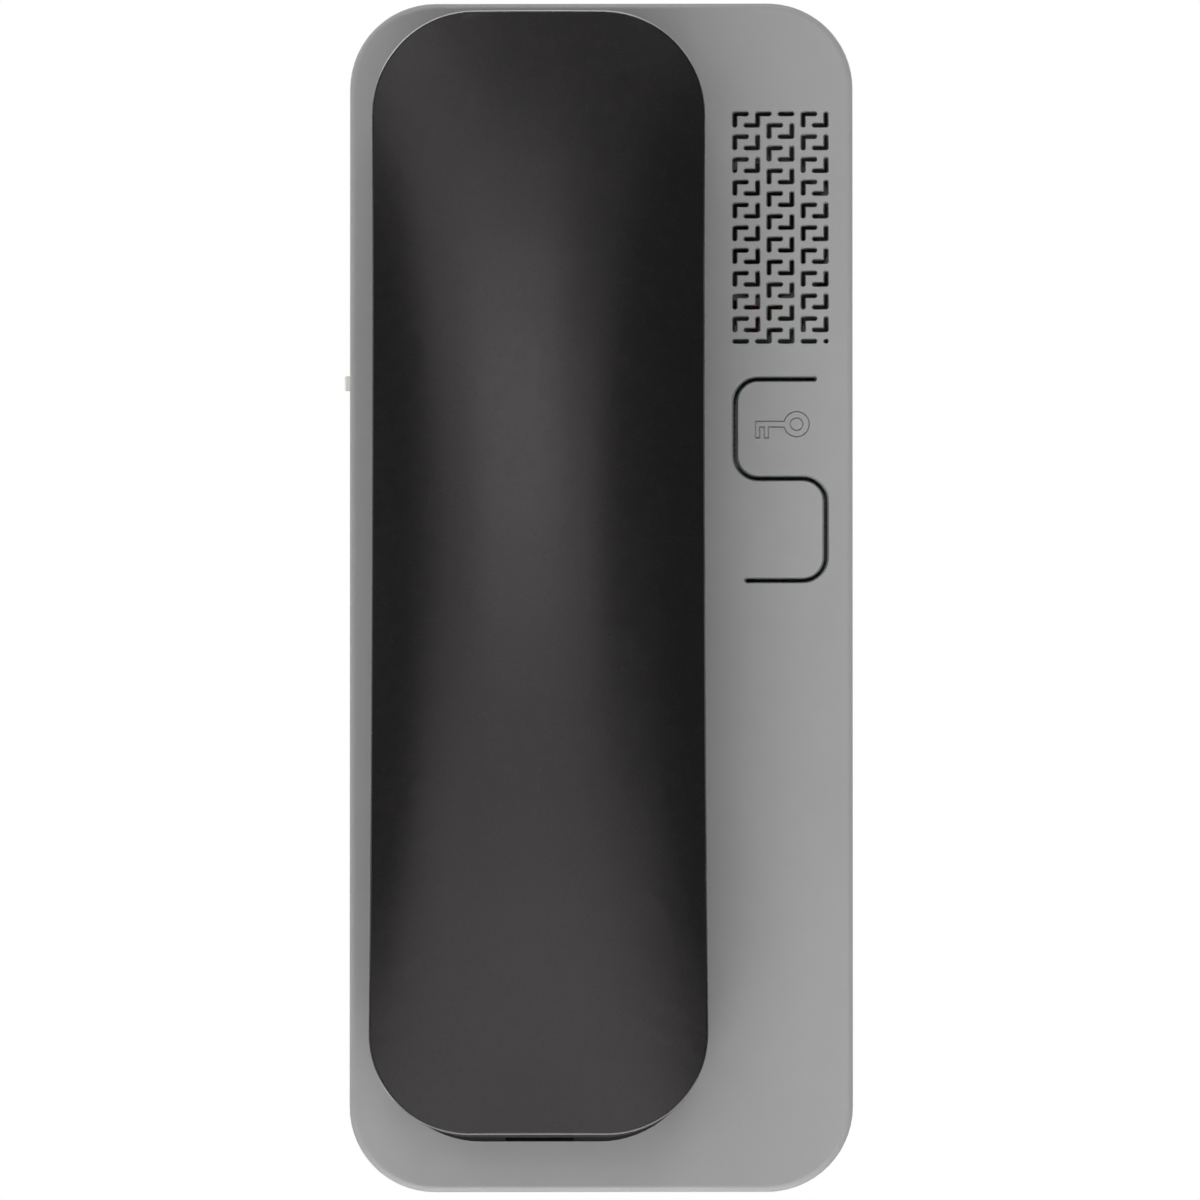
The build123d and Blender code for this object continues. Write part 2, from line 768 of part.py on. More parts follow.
with BuildPart() as back_plate:
    with BuildSketch(facing(0)):
        RectangleRounded(
            case_width - 2 * plate_step, case_height - 2 * plate_step, case_corner - plate_step
        )
    extrude(amount=plate_thickness)
    with BuildSketch(facing(plate_thickness)):
        with Locations(*post_places):
            Circle(post_radius)
    extrude(amount=post_height)
    # Hooks that catch the cover's top wall
    with BuildSketch(facing(plate_thickness)):
        with Locations(
            (-hook_spread / 2, case_height / 2 - plate_step - hook_root / 2),
            (hook_spread / 2, case_height / 2 - plate_step - hook_root / 2),
        ):
            Rectangle(hook_width, hook_root)
    extrude(amount=hook_depth + hook_thickness - plate_thickness)
    with BuildSketch(facing(hook_depth)):
        with Locations((-hook_spread / 2, hook_top - hook_bite), (hook_spread / 2, hook_top - hook_bite)):
            Rectangle(hook_width, 2 * hook_bite)
    extrude(amount=hook_thickness)
    # Boss of the case screw
    with BuildSketch(facing(plate_thickness)):
        with Locations((case_screw_x, case_boss_bottom + case_boss_length / 2)):
            Rectangle(case_boss_width, case_boss_length)
    extrude(amount=case_boss_top_depth - plate_thickness)
    with BuildSketch(Plane.XY.offset(case_boss_bottom - overrun)):
        with Locations((case_screw_x, -case_screw_depth)):
            Circle(case_screw_radius + seat_gap)
    extrude(amount=case_screw_length + overrun, mode=Mode.SUBTRACT)
    # Ribs on both sides of the cord socket, and a stop behind it
    rib_shift = (socket_width + cradle_rib_wall) / 2 + seat_gap
    with BuildSketch(facing(plate_thickness)):
        with Locations(
            (handset_x - rib_shift, socket_mouth_z + socket_length / 2),
            (handset_x + rib_shift, socket_mouth_z + socket_length / 2),
        ):
            Rectangle(cradle_rib_wall, socket_length)
        with Locations((handset_x, socket_mouth_z + socket_length + seat_gap + cradle_rib_wall / 2)):
            Rectangle(2 * rib_shift + cradle_rib_wall, cradle_rib_wall)
    extrude(amount=base_socket_depth + socket_height / 2 - plate_thickness)
    with BuildSketch(facing(plate_thickness)):
        with Locations((handset_x, socket_mouth_z + socket_length / 2)):
            Rectangle(socket_width - 2 * cradle_rib_wall, socket_length - 2 * cradle_rib_wall)
    extrude(amount=base_socket_depth - plate_thickness)
    # Wall screw slots and cable entry
    with BuildSketch(facing(0)):
        with Locations((0, -wall_slot_spacing / 2), (0, wall_slot_spacing / 2)):
            SlotOverall(wall_slot_length, wall_slot_width, rotation=90)
        with Locations((cable_entry_x, cable_entry_z)):
            RectangleRounded(cable_entry_width, cable_entry_height, cable_entry_corner)
    extrude(amount=plate_thickness, mode=Mode.SUBTRACT)
    # Pilot holes of the board screws
    with BuildSketch(facing(plate_thickness)):
        with Locations(*post_places):
            Circle(board_screw_radius + seat_gap)
    extrude(amount=post_height, mode=Mode.SUBTRACT)
back_plate.part.label = "back_plate"

# Circuit board on the four posts
board_middle = (board_top + board_bottom) / 2
with BuildPart() as circuit_board:
    with BuildSketch(facing(board_back)):
        with Locations((0, board_middle)):
            RectangleRounded(board_width, board_top - board_bottom, board_corner)
        with Locations(*post_places):
            Circle(board_screw_radius + loose_gap, mode=Mode.SUBTRACT)
    extrude(amount=board_thickness)
circuit_board.part.label = "circuit_board"

board_screw_solids = [
    screw_at(
        Plane(origin=(x, -board_front, z), x_dir=(1, 0, 0), z_dir=(0, -1, 0)),
        board_screw_radius,
        min(board_screw_length, board_thickness + post_height - seat_gap),
        board_screw_head_radius,
        board_screw_head_height,
    )
    for x, z in post_places
]
with BuildPart() as board_screws:
    for screw in board_screw_solids:
        add(screw)
board_screws.part.label = "board_screws"

case_screw_solid = screw_at(
    Plane(
        origin=(case_screw_x, -case_screw_depth, screw_wall_z + case_screw_head_height),
        x_dir=(1, 0, 0),
        z_dir=(0, 0, -1),
    ),
    case_screw_radius,
    case_screw_length,
    case_screw_head_radius,
    case_screw_head_height - seat_gap,
)
with BuildPart() as case_screw:
    add(case_screw_solid)
case_screw.part.label = "case_screw"


def tongue_block(outline, root_x, toward):
    """Flexing key: a tongue of the front wall, thinned at its root, with a press rib."""
    groove_x = root_x + toward * root_groove_width / 2
    rib_x = root_x + toward * rib_reach
    middle = outline.center().Y
    with BuildPart() as tongue:
        with BuildSketch(facing(front_back)):
            add(outline)
        extrude(amount=front_wall)
        with BuildSketch(facing(front_back)):
            with Locations((groove_x, middle)):
                Rectangle(root_groove_width, 2 * rib_length + slit_bend)
        extrude(amount=front_wall - root_thickness, mode=Mode.SUBTRACT)
        with BuildSketch(facing(front_back)):
            with Locations((rib_x, middle)):
                RectangleRounded(rib_thickness, rib_length, key_corner_radius)
        extrude(amount=key_stem_top + rib_gap - front_back)
        with BuildSketch(facing(case_depth)):
            add(slit_lip_shape.sketch)
        extrude(amount=-lip_depth, taper=lip_taper, mode=Mode.SUBTRACT)
    return tongue.part


def key_switch(outline, root_x, toward):
    """Body of a push switch under a key's rib, with the well of its stem."""
    x = root_x + toward * rib_reach
    z = outline.center().Y
    with BuildPart() as body:
        with BuildSketch(facing(board_front)):
            with Locations((x, z)):
                Rectangle(key_switch_size, key_switch_size)
        extrude(amount=key_switch_height)
        with BuildSketch(facing(key_stem_top - key_stem_length - key_stem_travel - seat_gap)):
            with Locations((x, z)):
                Circle(key_stem_radius + running_gap)
        extrude(amount=key_switch_height, mode=Mode.SUBTRACT)
    return body.part


def key_stem(outline, root_x, toward):
    """Stem of a push switch."""
    with BuildPart() as stem:
        with BuildSketch(facing(key_stem_top - key_stem_length)):
            with Locations((root_x + toward * rib_reach, outline.center().Y)):
                Circle(key_stem_radius)
        extrude(amount=key_stem_length)
    return stem.part


# Opening key: rooted at its right, it carries the engraved key picture
open_tongue = tongue_block(open_outline, open_root_x, -1)
with BuildSketch() as picture_outer:
    with Locations((picture_ring_x, picture_ring_z)):
        Circle(picture_ring_radius)
    shaft_middle = (picture_ring_x + picture_shaft_end) / 2
    with Locations((shaft_middle, picture_ring_z)):
        Rectangle(picture_ring_x - picture_shaft_end, picture_shaft_height)
    for tooth in range(2):
        tooth_x = picture_shaft_end + picture_tooth_width / 2 + tooth * picture_tooth_pitch
        with Locations((tooth_x, picture_ring_z - picture_tooth_drop / 2)):
            Rectangle(picture_tooth_width, picture_tooth_drop)
with BuildSketch() as picture_shape:
    offset(picture_outer.sketch, amount=picture_line / 2)
    offset(picture_outer.sketch, amount=-picture_line / 2, mode=Mode.SUBTRACT)
    with Locations((picture_ring_x, picture_ring_z)):
        Circle(picture_eye_radius + picture_line / 2)
        Circle(picture_eye_radius - picture_line / 2, mode=Mode.SUBTRACT)

with BuildPart() as open_button:
    add(open_tongue)
    with BuildSketch(facing(case_depth)):
        add(picture_shape.sketch)
    extrude(amount=-picture_depth, mode=Mode.SUBTRACT)
open_button.part.label = "open_button"

service_tongue = tongue_block(service_outline, service_root_x, 1)
with BuildPart() as service_button:
    add(service_tongue)
service_button.part.label = "service_button"

open_switch_solid = key_switch(open_outline, open_root_x, -1)
with BuildPart() as open_switch_body:
    add(open_switch_solid)
open_switch_body.part.label = "open_switch_body"

open_stem_solid = key_stem(open_outline, open_root_x, -1)
with BuildPart() as open_switch_stem:
    add(open_stem_solid)
open_switch_stem.part.label = "open_switch_stem"

service_switch_solid = key_switch(service_outline, service_root_x, 1)
with BuildPart() as service_switch_body:
    add(service_switch_solid)
service_switch_body.part.label = "service_switch_body"

service_stem_solid = key_stem(service_outline, service_root_x, 1)
with BuildPart() as service_switch_stem:
    add(service_stem_solid)
service_switch_stem.part.label = "service_switch_stem"

# Cradle switch: a flanged plunger through the cover, on the stem of a switch on the board
with BuildPart() as hook_plunger:
    with BuildSketch(facing(hook_stem_top)):
        with Locations((handset_x, plunger_z)):
            Circle(plunger_flange_radius)
    extrude(amount=plunger_flange_thickness)
    with BuildSketch(facing(hook_stem_top)):
        with Locations((handset_x, plunger_z)):
            Circle(plunger_radius)
    extrude(amount=seat_depth - hook_stem_top)
    tip_edge = hook_plunger.edges().sort_by(Axis.Y)[0]
    fillet(tip_edge, radius=plunger_tip_radius)
hook_plunger.part.label = "hook_plunger"

with BuildPart() as hook_switch_body:
    with BuildSketch(facing(board_front)):
        with Locations((handset_x, plunger_z)):
            Rectangle(hook_switch_size, hook_switch_size)
    extrude(amount=hook_switch_height)
    with BuildSketch(facing(hook_stem_top - hook_stem_length)):
        with Locations((handset_x, plunger_z)):
            Circle(hook_stem_radius + running_gap)
    extrude(amount=hook_stem_length, mode=Mode.SUBTRACT)
hook_switch_body.part.label = "hook_switch_body"

with BuildPart() as hook_switch_stem:
    with BuildSketch(facing(hook_stem_top - hook_stem_length)):
        with Locations((handset_x, plunger_z)):
            Circle(hook_stem_radius)
    extrude(amount=hook_stem_length)
hook_switch_stem.part.label = "hook_switch_stem"

# Sounder: a basket with its seal in front, its cone inside and its magnet behind
sounder_front = front_back - sounder_seal_thickness
sounder_back = sounder_front - sounder_rim_thickness - sounder_cup_depth
with BuildPart() as ringer_frame:
    with BuildSketch(turned(sounder_x, sounder_z)):
        Polygon(
            (sounder_radius - sounder_rim_width, sounder_front),
            (sounder_radius, sounder_front),
            (sounder_radius, sounder_front - sounder_rim_thickness),
            (sounder_radius - sounder_skin, sounder_front - sounder_rim_thickness),
            (sounder_cup_radius, sounder_back),
            (0, sounder_back),
            (0, sounder_back + sounder_skin),
            (sounder_cup_radius - sounder_skin, sounder_back + sounder_skin),
            (sounder_radius - sounder_rim_width, sounder_front - sounder_rim_thickness),
            align=None,
        )
    revolve(axis=square_to_wall(sounder_x, sounder_z))
ringer_frame.part.label = "ringer_frame"

cone_edge = sounder_radius - sounder_rim_width - seat_gap
cone_front = sounder_front - cone_thickness
cone_throat = sounder_back + sounder_skin + cone_thickness + loose_gap
with BuildPart() as ringer_cone:
    with BuildSketch(turned(sounder_x, sounder_z)):
        Polygon(
            (cone_edge, sounder_front),
            (cone_edge, cone_front),
            (cone_dome_radius, cone_throat),
            (0, cone_throat),
            (0, cone_throat + cone_thickness),
            (cone_dome_radius, cone_throat + cone_thickness),
            (cone_edge - cone_thickness, sounder_front),
            align=None,
        )
    revolve(axis=square_to_wall(sounder_x, sounder_z))
ringer_cone.part.label = "ringer_cone"

with BuildPart() as ringer_magnet:
    with BuildSketch(facing(sounder_back)):
        with Locations((sounder_x, sounder_z)):
            Circle(sounder_magnet_radius)
    extrude(amount=-sounder_magnet_height)
ringer_magnet.part.label = "ringer_magnet"

with BuildPart() as ringer_gasket:
    with BuildSketch(facing(sounder_front)):
        with Locations((sounder_x, sounder_z)):
            Circle(sounder_radius)
            Circle(sounder_radius - sounder_rim_width, mode=Mode.SUBTRACT)
    extrude(amount=sounder_seal_thickness)
ringer_gasket.part.label = "ringer_gasket"

# Wires from the sounder's back down to the board's top edge
ringer_wire_depth = sounder_back - wire_radius - seat_gap
ringer_wire_solids = []
for side in (-1, 1):
    wire_x = sounder_x + side * wire_pitch
    ringer_wire_solids.append(
        wire_along(
            [
                (wire_x, -ringer_wire_depth, sounder_z - sounder_magnet_radius - seat_gap),
                (wire_x, -ringer_wire_depth, board_top - wire_inset),
                (wire_x, -board_front, board_top - wire_inset),
            ],
            wire_bend,
        )
    )
with BuildPart() as ringer_leads:
    for wire in ringer_wire_solids:
        add(wire)
ringer_leads.part.label = "ringer_leads"

# Line terminal: screws from the front, wire holes from below
terminal_places = [
    terminal_x + (number - (terminal_ways - 1) / 2) * terminal_pitch for number in range(terminal_ways)
]
terminal_middle = terminal_bottom + terminal_length / 2
terminal_front = board_front + terminal_height
with BuildPart() as line_terminal:
    with BuildSketch(facing(board_front)):
        with Locations((terminal_x, terminal_middle)):
            Rectangle(terminal_ways * terminal_pitch, terminal_length)
    extrude(amount=terminal_height)
    with BuildSketch(facing(terminal_front)):
        with Locations(*[(x, terminal_middle) for x in terminal_places]):
            Circle(terminal_screw_radius + seat_gap)
    extrude(amount=-terminal_screw_length, mode=Mode.SUBTRACT)
    with BuildSketch(Plane.XY.offset(terminal_bottom)):
        with Locations(*[(x, -board_front - terminal_wire_hole) for x in terminal_places]):
            Rectangle(terminal_wire_hole, terminal_wire_hole)
    extrude(amount=terminal_wire_hole_length, mode=Mode.SUBTRACT)
line_terminal.part.label = "line_terminal"

terminal_screw_solids = []
for x in terminal_places:
    with BuildPart() as terminal_screw:
        with BuildSketch(facing(terminal_front - terminal_screw_length)):
            with Locations((x, terminal_middle)):
                Circle(terminal_screw_radius)
        extrude(amount=terminal_screw_length * (1 - drive_depth_share / 2))
        with BuildSketch(facing(terminal_front)):
            with Locations((x, terminal_middle)):
                Rectangle(2 * terminal_screw_radius, drive_slot_width)
        extrude(amount=-terminal_screw_length * drive_depth_share, mode=Mode.SUBTRACT)
    terminal_screw_solids.append(terminal_screw.part)
with BuildPart() as terminal_screws:
    for screw in terminal_screw_solids:
        add(screw)
terminal_screws.part.label = "terminal_screws"

# Cord socket of the base
base_socket_solid = cord_socket(Plane.XY.offset(socket_mouth_z), base_socket_depth)
with BuildPart() as base_cord_jack:
    add(base_socket_solid)
base_cord_jack.part.label = "base_cord_jack"

base_contact_solids = socket_contacts(socket_mouth_z, base_socket_depth)
with BuildPart() as base_jack_contacts:
    add(base_contact_solids)
base_jack_contacts.part.label = "base_jack_contacts"

# Wires from the base socket up to the board
jack_lead_depth = pocket_floor_depth - pocket_wall - loose_gap - wire_radius
jack_lead_start = socket_mouth_z + socket_length
jack_lead_end = board_bottom + wire_inset
jack_lead_solids = []
for side in (-1, 1):
    shift = side * wire_pitch / 2
    jack_lead_solids.append(
        wire_along(
            [
                (jack_lead_start_x + shift, -jack_lead_depth, jack_lead_start),
                (jack_lead_start_x + shift, -jack_lead_depth, jack_lead_start + socket_length / 2),
                (jack_lead_x + shift, -jack_lead_depth, jack_lead_end - socket_length),
                (jack_lead_x + shift, -jack_lead_depth, jack_lead_end),
                (jack_lead_x + shift, -board_front, jack_lead_end),
            ],
            wire_bend,
        )
    )
with BuildPart() as jack_leads:
    for wire in jack_lead_solids:
        add(wire)
jack_leads.part.label = "jack_leads"

# Volume switch: body on the board and a slider that reaches out through the left wall
volume_channel_length = volume_knob_length + 2 * volume_travel + 2 * slide_gap
with BuildPart() as volume_switch_body:
    with BuildSketch(facing(board_front)):
        with Locations((volume_body_left + volume_body_width / 2, volume_z)):
            Rectangle(volume_body_width, volume_body_length)
    extrude(amount=volume_body_height)
    with BuildSketch(facing(board_front + volume_knob_lift - slide_gap)):
        with Locations(((volume_body_left + volume_knob_root + slide_gap) / 2, volume_z)):
            Rectangle(volume_knob_root + slide_gap - volume_body_left, volume_channel_length)
    extrude(amount=volume_knob_height + 2 * slide_gap, mode=Mode.SUBTRACT)
volume_switch_body.part.label = "volume_switch_body"

volume_knob_end = -case_width / 2 - volume_knob_proud
with BuildPart() as volume_slider:
    with BuildSketch(facing(board_front + volume_knob_lift)):
        with Locations(((volume_knob_end + volume_knob_root) / 2, volume_z)):
            Rectangle(volume_knob_root - volume_knob_end, volume_knob_length)
    extrude(amount=volume_knob_height)
    knob_face = volume_slider.faces().sort_by(Axis.X)[0]
    fillet(knob_face.edges(), radius=key_corner_radius)
volume_slider.part.label = "volume_slider"

# Electrolytic capacitor lying square to the board
with BuildPart() as line_capacitor:
    with BuildSketch(facing(board_front)):
        with Locations((capacitor_x, capacitor_z)):
            Circle(capacitor_radius)
    extrude(amount=min(capacitor_length, front_back - board_front - loose_gap))
    can_top = line_capacitor.edges().sort_by(Axis.Y)[0]
    fillet(can_top, radius=capacitor_lip)
line_capacitor.part.label = "line_capacitor"

with BuildPart() as amplifier_chip:
    with BuildSketch(facing(board_front + chip_stand_off)):
        with Locations((chip_x, chip_z)):
            Rectangle(chip_length, chip_width)
    extrude(amount=chip_height)
    with BuildSketch(facing(board_front)):
        with Locations((chip_x, chip_z)):
            with GridLocations(chip_leg_pitch, chip_width + chip_leg_reach, chip_leg_count, 2):
                Rectangle(chip_leg_width, chip_leg_reach + chip_leg_width)
    extrude(amount=chip_stand_off + chip_height / 2)
amplifier_chip.part.label = "amplifier_chip"

with BuildPart() as resistors:
    with BuildSketch(facing(board_front)):
        with Locations((resistor_x, resistor_z)):
            with GridLocations(0, resistor_pitch, 1, resistor_count):
                Rectangle(resistor_length, resistor_width)
    extrude(amount=resistor_height)
resistors.part.label = "resistors"

# Handset shells: one form, hollowed, and parted square to the wall
boss_grow = -slide_gap
ear_boss = pocket_block(ear_pocket, boss_grow, boss_face, seat_depth + handset_wall)
mouth_boss = pocket_block(mouth_pocket, boss_grow, boss_face, seat_depth + handset_wall)
ear_cavity = pocket_block(
    ear_pocket, boss_grow - boss_wall, boss_floor, seat_depth + handset_wall + overrun
)
mouth_cavity = pocket_block(
    mouth_pocket, boss_grow - boss_wall, boss_floor, seat_depth + handset_wall + overrun
)
form_block = handset_block(seat_depth, crest_depth + overrun, 0)
hollow_block = handset_block(seat_depth - overrun, crest_depth + overrun, handset_wall)
crown_skin = crown_block(0)
crown_lining = crown_block(handset_wall)
rear_skin = rear_block(0)
rear_lining = rear_block(handset_wall)
parting_plane = Plane.XZ.offset(parting_depth)

with BuildPart() as handset_form:
    add(form_block)
    add(crown_skin, mode=Mode.INTERSECT)
    add(rear_skin, mode=Mode.INTERSECT)

with BuildPart() as handset_hollow:
    add(hollow_block)
    add(crown_lining, mode=Mode.INTERSECT)
    add(rear_lining, mode=Mode.INTERSECT)

# Shallow groove all round, where the two shells meet
groove_outside = handset_block(parting_depth - joint_groove_height, parting_depth, -overrun)
groove_inside = handset_block(parting_depth - joint_groove_height, parting_depth, joint_groove_depth)
with BuildPart() as joint_groove:
    add(groove_outside)
    add(groove_inside, mode=Mode.SUBTRACT)

handset_socket_mouth_z = handset_foot + handset_wall - cradle_rib_wall
screw_places = [(handset_x, handset_screw_top_z), (handset_x, handset_screw_bottom_z)]
screw_seat_depth = grip_depth + handset_screw_head_height
handset_boss_radius = handset_screw_radius + seat_gap + screw_boss_wall
handset_boss_roof = crest_depth - handset_wall + overrun / 2
earpiece_front = boss_floor + earpiece_seal_thickness
earpiece_rear = earpiece_front + earpiece_rim_thickness + earpiece_cup_depth
collar_inner = earpiece_radius + seat_gap
boot_radius = microphone_radius + boot_wall
boot_collar = boot_radius + seat_gap

with BuildPart() as handset_outer_shell:
    add(handset_form.part)
    split(bisect_by=parting_plane, keep=Keep.TOP)
    crown_face = handset_outer_shell.faces().sort_by(SortBy.AREA)[-2:].sort_by(Axis.Y)[0]
    fillet(crown_face.outer_wire().edges(), radius=rim_radius)
    add(handset_hollow.part, mode=Mode.SUBTRACT)
    with BuildSketch(facing(parting_depth)):
        with Locations(*screw_places):
            Circle(handset_boss_radius)
    extrude(amount=handset_boss_roof - parting_depth)
    with BuildSketch(facing(parting_depth)):
        with Locations(*screw_places):
            Circle(handset_screw_radius + seat_gap)
    extrude(amount=handset_screw_length, mode=Mode.SUBTRACT)
handset_outer_shell.part.label = "handset_outer_shell"

with BuildPart() as handset_inner_shell:
    add(handset_form.part)
    split(bisect_by=parting_plane, keep=Keep.BOTTOM)
    add(ear_boss)
    add(mouth_boss)
    add(handset_hollow.part, mode=Mode.SUBTRACT)
    add(ear_cavity, mode=Mode.SUBTRACT)
    add(mouth_cavity, mode=Mode.SUBTRACT)
    # Collar of the earpiece
    with BuildSketch(facing(boss_floor)):
        with Locations((handset_x, ear_pocket_z)):
            Circle(collar_inner + collar_wall)
            Circle(collar_inner, mode=Mode.SUBTRACT)
    extrude(amount=earpiece_collar_height)
    # Collar of the microphone boot
    with BuildSketch(facing(boss_floor)):
        with Locations((handset_x, mouth_floor_z)):
            Circle(boot_collar + collar_wall)
            Circle(boot_collar, mode=Mode.SUBTRACT)
    extrude(amount=boot_floor + microphone_length)
    # Sound holes of the earpiece and the port of the microphone
    with BuildSketch(facing(boss_face)):
        with Locations((handset_x, ear_pocket_z)):
            Circle(sound_hole_radius)
            with PolarLocations(sound_hole_circle, sound_hole_count):
                Circle(sound_hole_radius)
        with Locations((handset_x, mouth_floor_z)):
            Circle(microphone_port_radius)
    extrude(amount=boss_wall, mode=Mode.SUBTRACT)
    # Bosses and counterbores of the two screws
    with BuildSketch(facing(grip_depth)):
        with Locations(*screw_places):
            Circle(handset_screw_head_radius + loose_gap + handset_wall)
    extrude(amount=parting_depth - grip_depth)
    with BuildSketch(facing(grip_depth)):
        with Locations(*screw_places):
            Circle(handset_screw_radius + loose_gap)
    extrude(amount=parting_depth - grip_depth, mode=Mode.SUBTRACT)
    with BuildSketch(facing(grip_depth)):
        with Locations(*screw_places):
            Circle(handset_screw_head_radius + loose_gap)
    extrude(amount=handset_screw_head_height, mode=Mode.SUBTRACT)
    # Window of the cord socket in the lower end, and ribs that hold the socket
    with BuildSketch(facing(handset_socket_depth - seat_gap)):
        with Locations((handset_x, handset_foot)):
            Rectangle(socket_width + 2 * seat_gap, 4 * handset_wall)
    extrude(amount=socket_height + 2 * seat_gap, mode=Mode.SUBTRACT)
    add(joint_groove.part, mode=Mode.SUBTRACT)
handset_inner_shell.part.label = "handset_inner_shell"

handset_screw_solids = [
    screw_at(
        Plane(origin=(x, -screw_seat_depth, z), x_dir=(1, 0, 0), z_dir=(0, 1, 0)),
        handset_screw_radius,
        handset_screw_length,
        handset_screw_head_radius,
        handset_screw_head_height - seat_gap,
    )
    for x, z in screw_places
]
with BuildPart() as handset_screws:
    for screw in handset_screw_solids:
        add(screw)
handset_screws.part.label = "handset_screws"

# Earpiece capsule: seal, basket, diaphragm, magnet and the ring that holds it in its collar
with BuildPart() as earpiece_gasket:
    with BuildSketch(facing(boss_floor)):
        with Locations((handset_x, ear_pocket_z)):
            Circle(earpiece_radius)
            Circle(earpiece_radius - earpiece_rim_width, mode=Mode.SUBTRACT)
    extrude(amount=earpiece_seal_thickness)
earpiece_gasket.part.label = "earpiece_gasket"

earpiece_step = earpiece_front + earpiece_rim_thickness
with BuildPart() as earpiece_frame:
    with BuildSketch(turned(handset_x, ear_pocket_z)):
        Polygon(
            (earpiece_radius - earpiece_rim_width, earpiece_front),
            (earpiece_radius, earpiece_front),
            (earpiece_radius, earpiece_step),
            (earpiece_cup_radius, earpiece_rear),
            (0, earpiece_rear),
            (0, earpiece_rear - earpiece_skin),
            (earpiece_cup_radius - earpiece_skin, earpiece_rear - earpiece_skin),
            (earpiece_radius - earpiece_rim_width, earpiece_step - earpiece_skin / 2),
            align=None,
        )
    revolve(axis=square_to_wall(handset_x, ear_pocket_z))
earpiece_frame.part.label = "earpiece_frame"

diaphragm_edge = earpiece_radius - earpiece_rim_width - seat_gap
with BuildPart() as earpiece_diaphragm:
    with BuildSketch(turned(handset_x, ear_pocket_z)):
        Polygon(
            (0, earpiece_front + cone_thickness),
            (cone_dome_radius, earpiece_front + cone_thickness),
            (diaphragm_edge, earpiece_front),
            (diaphragm_edge, earpiece_front + cone_thickness),
            (cone_dome_radius, earpiece_front + 2 * cone_thickness),
            (0, earpiece_front + 2 * cone_thickness),
            align=None,
        )
    revolve(axis=square_to_wall(handset_x, ear_pocket_z))
earpiece_diaphragm.part.label = "earpiece_diaphragm"

with BuildPart() as earpiece_magnet:
    with BuildSketch(facing(earpiece_rear)):
        with Locations((handset_x, ear_pocket_z)):
            Circle(earpiece_magnet_radius)
    extrude(amount=earpiece_magnet_height)
earpiece_magnet.part.label = "earpiece_magnet"

retainer_seat = boss_floor + earpiece_collar_height
flank_slope = earpiece_cup_depth / (earpiece_radius - earpiece_cup_radius)
retainer_foot = earpiece_step + flank_slope * earpiece_rim_width / 2
with BuildPart() as earpiece_retainer:
    with BuildSketch(turned(handset_x, ear_pocket_z)):
        Polygon(
            (earpiece_radius - earpiece_rim_width / 2, retainer_foot),
            (earpiece_radius, earpiece_step),
            (earpiece_radius, retainer_seat),
            (collar_inner + collar_wall, retainer_seat),
            (collar_inner + collar_wall, retainer_seat + retainer_thickness),
            (retainer_opening, retainer_seat + retainer_thickness),
            (retainer_opening, retainer_seat),
            (earpiece_radius - earpiece_rim_width / 2, retainer_seat),
            align=None,
        )
    revolve(axis=square_to_wall(handset_x, ear_pocket_z))
earpiece_retainer.part.label = "earpiece_retainer"

# Microphone capsule in its rubber boot
with BuildPart() as microphone_boot:
    with BuildSketch(facing(boss_floor)):
        with Locations((handset_x, mouth_floor_z)):
            Circle(boot_radius)
    extrude(amount=boot_floor + microphone_length)
    with BuildSketch(facing(boss_floor + boot_floor)):
        with Locations((handset_x, mouth_floor_z)):
            Circle(microphone_radius)
    extrude(amount=microphone_length, mode=Mode.SUBTRACT)
    with BuildSketch(facing(boss_floor)):
        with Locations((handset_x, mouth_floor_z)):
            Circle(microphone_port_radius)
    extrude(amount=boot_floor, mode=Mode.SUBTRACT)
microphone_boot.part.label = "microphone_boot"

with BuildPart() as microphone_capsule:
    with BuildSketch(facing(boss_floor + boot_floor)):
        with Locations((handset_x, mouth_floor_z)):
            Circle(microphone_radius)
    extrude(amount=microphone_length)
microphone_capsule.part.label = "microphone_capsule"

# Cord socket of the handset
handset_socket_solid = cord_socket(Plane.XY.offset(handset_socket_mouth_z), handset_socket_depth)
with BuildPart() as handset_cord_jack:
    add(handset_socket_solid)
handset_cord_jack.part.label = "handset_cord_jack"

handset_contact_solids = socket_contacts(handset_socket_mouth_z, handset_socket_depth)
with BuildPart() as handset_jack_contacts:
    add(handset_contact_solids)
handset_jack_contacts.part.label = "handset_jack_contacts"

# Wires of the handset: from its socket past the screw bosses to the earpiece, and to the microphone
handset_lead_start = handset_socket_mouth_z + socket_length
earpiece_back = earpiece_rear + earpiece_magnet_height
microphone_back = boss_floor + boot_floor + microphone_length
ear_start_x = handset_x - wire_pitch
mouth_start_x = handset_x + wire_pitch
earpiece_lead_solids = []
microphone_lead_solids = []
for side in (-1, 1):
    shift = side * wire_pitch / 2
    earpiece_lead_solids.append(
        wire_along(
            [
                (ear_start_x + shift, -handset_lead_start_depth, handset_lead_start),
                (ear_start_x + shift, -handset_lead_start_depth, handset_lead_start + 2 * lead_bend),
                (handset_lead_x + shift, -handset_lead_depth, grip_bottom - grip_ramp),
                (handset_lead_x + shift, -handset_lead_depth, grip_top + grip_ramp / 2),
                (handset_x + shift, -handset_lead_depth, ear_pocket_z),
                (handset_x + shift, -earpiece_back, ear_pocket_z),
            ],
            lead_bend,
        )
    )
    microphone_lead_solids.append(
        wire_along(
            [
                (mouth_start_x + shift, -handset_lead_start_depth, handset_lead_start),
                (mouth_start_x + shift, -handset_lead_start_depth, mouth_floor_z),
                (mouth_start_x + shift, -microphone_back, mouth_floor_z),
            ],
            lead_bend,
        )
    )
with BuildPart() as earpiece_leads:
    for wire in earpiece_lead_solids:
        add(wire)
earpiece_leads.part.label = "earpiece_leads"
